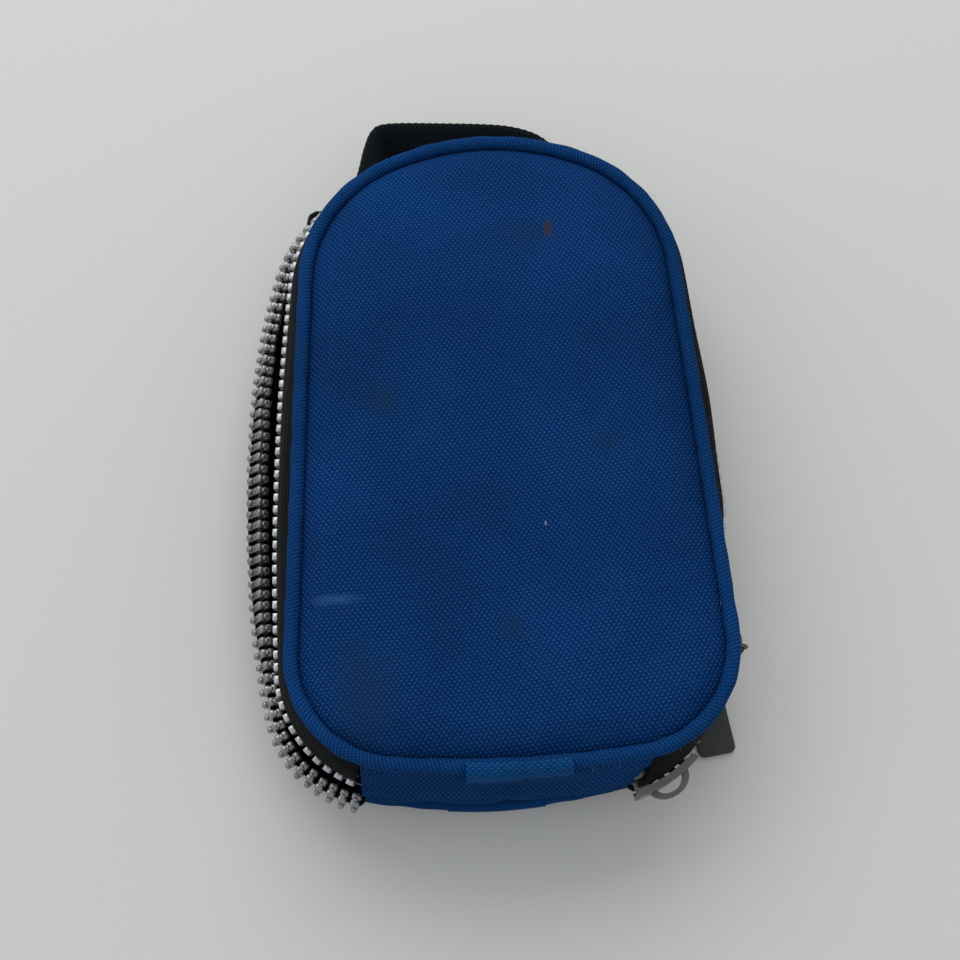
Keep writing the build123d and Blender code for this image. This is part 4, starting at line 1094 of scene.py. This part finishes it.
# ---- mesh pocket in the lid ----------------------------------------------------------------
def clip(polygon, origin, direction):
    """Part of a line inside a convex polygon, as two distances, or None."""
    low, high = -1e3, 1e3
    edges = np.roll(polygon, -1, axis=0) - polygon
    normals = np.stack((-edges[:, 1], edges[:, 0]), -1)
    inside = np.sign(np.mean(np.sum(normals * (polygon.mean(0) - polygon), 1)))
    for p, n in zip(polygon, normals * inside):
        rate, room = float(n @ direction), float(n @ (origin - p))
        if abs(rate) < 1e-12:
            if room < 0:
                return None
        elif rate > 0:
            low = max(low, -room / rate)
        else:
            high = min(high, -room / rate)
    return (low, high) if high - low > 0.8 else None


pocket_low, pocket_high = (np.array(v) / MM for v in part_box("mesh_pocket"))
edge, _ = round_case(PANEL, np.linspace(0, 1, 241)[:-1], -INSET - 1.4)
edge = edge + SHIFT
edge = edge[edge[:, 1] < pocket_high[1] - 0.3]
pocket_z = (pocket_low[2] + pocket_high[2]) / 2
strands = []
for angle, level in ((52, 0.12), (128, -0.12)):
    direction = np.array((cos(radians(angle)), sin(radians(angle))))
    across = np.array((-direction[1], direction[0]))
    for step in np.arange(-110, 110, 2.3):
        got = clip(edge, edge.mean(0) + across * step, direction)
        if got:
            t = np.linspace(got[0], got[1], max(3, int((got[1] - got[0]) / 6)))
            p = edge.mean(0) + across * step + direction * t[:, None]
            strands.append(np.column_stack((p, np.full(len(t), pocket_z + level))))
strands.append(np.column_stack((edge, np.full(len(edge), pocket_z))))
net_mesh = tube_along("pocket_net", strands, 0.2, mesh_black, 6)
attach(net_mesh, "lid")
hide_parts("mesh_pocket")

bind_low, bind_high = (np.array(v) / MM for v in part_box("pocket_binding"))


def make_binding():
    x = np.linspace(bind_low[0] + 0.3, bind_high[0] - 0.3, 220)
    around = np.linspace(0, 2 * pi, 33)
    hy, hz = (bind_high[1] - bind_low[1]) / 2, (bind_high[2] - bind_low[2]) / 2
    gather = 1 + 0.05 * np.cos(x * 2 * pi / 2.1)
    power = 0.35
    cy = np.sign(np.cos(around[:-1])) * np.abs(np.cos(around[:-1])) ** power
    cz = np.sign(np.sin(around[:-1])) * np.abs(np.sin(around[:-1])) ** power
    y = (bind_low[1] + bind_high[1]) / 2 + hy * cy[None] * np.ones_like(x)[:, None]
    z = (bind_low[2] + bind_high[2]) / 2 + 0.92 * hz * cz[None] * gather[:, None]
    P = np.stack((np.broadcast_to(x[:, None], y.shape), y, z), -1)
    U, V = np.meshgrid(x, around * hy, indexing="ij")
    return grid_mesh("pocket_hem", P, np.stack((V, U), -1), closed_v=True, caps="u", material=elastic_black)


binding = make_binding()
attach(binding, "lid")
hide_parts("pocket_binding")

# ---- a few pulled fibres along the worn right edge -----------------------------------------
fuzz_blue = plain("fuzz", (0.07, 0.15, 0.30), 0.9)
fibres = []
for k in range(26):
    f0 = rng.uniform(0.03, 0.47)
    p, n = round_case(PANEL, [f0], -0.05)
    t = np.linspace(0, 1, 7)
    reach, bend, height = rng.uniform(0.5, 1.5), rng.normal() * 0.9, rng.uniform(-0.8, 0.9)
    side = np.array((-n[0][1], n[0][0]))
    line = p[0] + SHIFT + n[0] * (reach * t)[:, None] + side * (bend * t**2)[:, None]
    fibres.append(np.column_stack((line, LID_PIPING_Z + height + 0.5 * t)))
fuzz = tube_along("pulled_fibres", fibres, 0.025, fuzz_blue, 5)
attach(fuzz, "lid")

# ---- floor, light and camera ---------------------------------------------------------------
floor_net = Net("table_white")
floor_net.set(Base_Color=(0.69, 0.695, 0.685, 1), Roughness=0.6, Specular_IOR_Level=0.3)
floor = grid_mesh(
    "table",
    np.array([[(-1500, -1500, 0), (-1500, 1500, 0)], [(1500, -1500, 0), (1500, 1500, 0)]], float),
    material=floor_net.material,
)


def area_light(name, place, size, power, color=(1, 1, 1)):
    """Rectangular light that faces the origin."""
    data = bpy.data.lights.new(name, "AREA")
    data.shape = "RECTANGLE"
    data.size, data.size_y = size
    data.energy = power
    data.color = color
    o = bpy.data.objects.new(name, data)
    bpy.context.scene.collection.objects.link(o)
    o.location = place
    o.rotation_mode = "QUATERNION"
    o.rotation_quaternion = (-Vector(place)).to_track_quat("-Z", "Y")


area_light("window", (-0.15, 0.95, 1.05), (1.5, 0.9), 9.3, (1.0, 1.0, 0.99))
area_light("left_fill", (-1.2, 0.1, 0.9), (0.9, 0.9), 1.6)
world = bpy.data.worlds.new("room")
world.use_nodes = True
sky = world.node_tree.nodes["Background"]
sky.inputs[0].default_value = (0.98, 1.0, 1.0, 1)
sky.inputs[1].default_value = 0.54
scene = bpy.context.scene
scene.world = world
scene.view_settings.view_transform = "Standard"
scene.view_settings.look = "None"

camera = bpy.data.objects.new("camera", bpy.data.cameras.new("camera"))
scene.collection.objects.link(camera)
camera.data.sensor_width = 36.0
camera.data.lens = 52.5
camera.data.clip_start = 0.02
# the camera looks down from the near side, turned a little
right = Vector((0.99863, -0.05234, 0.0))
up = Vector((0.04977, 0.94975, 0.30902))
back = right.cross(up)
camera.matrix_world = Matrix(
    (
        (right.x, up.x, back.x, -0.00569),
        (right.y, up.y, back.y, -0.11186),
        (right.z, up.z, back.z, 0.35602),
        (0, 0, 0, 1),
    )
)
scene.camera = camera
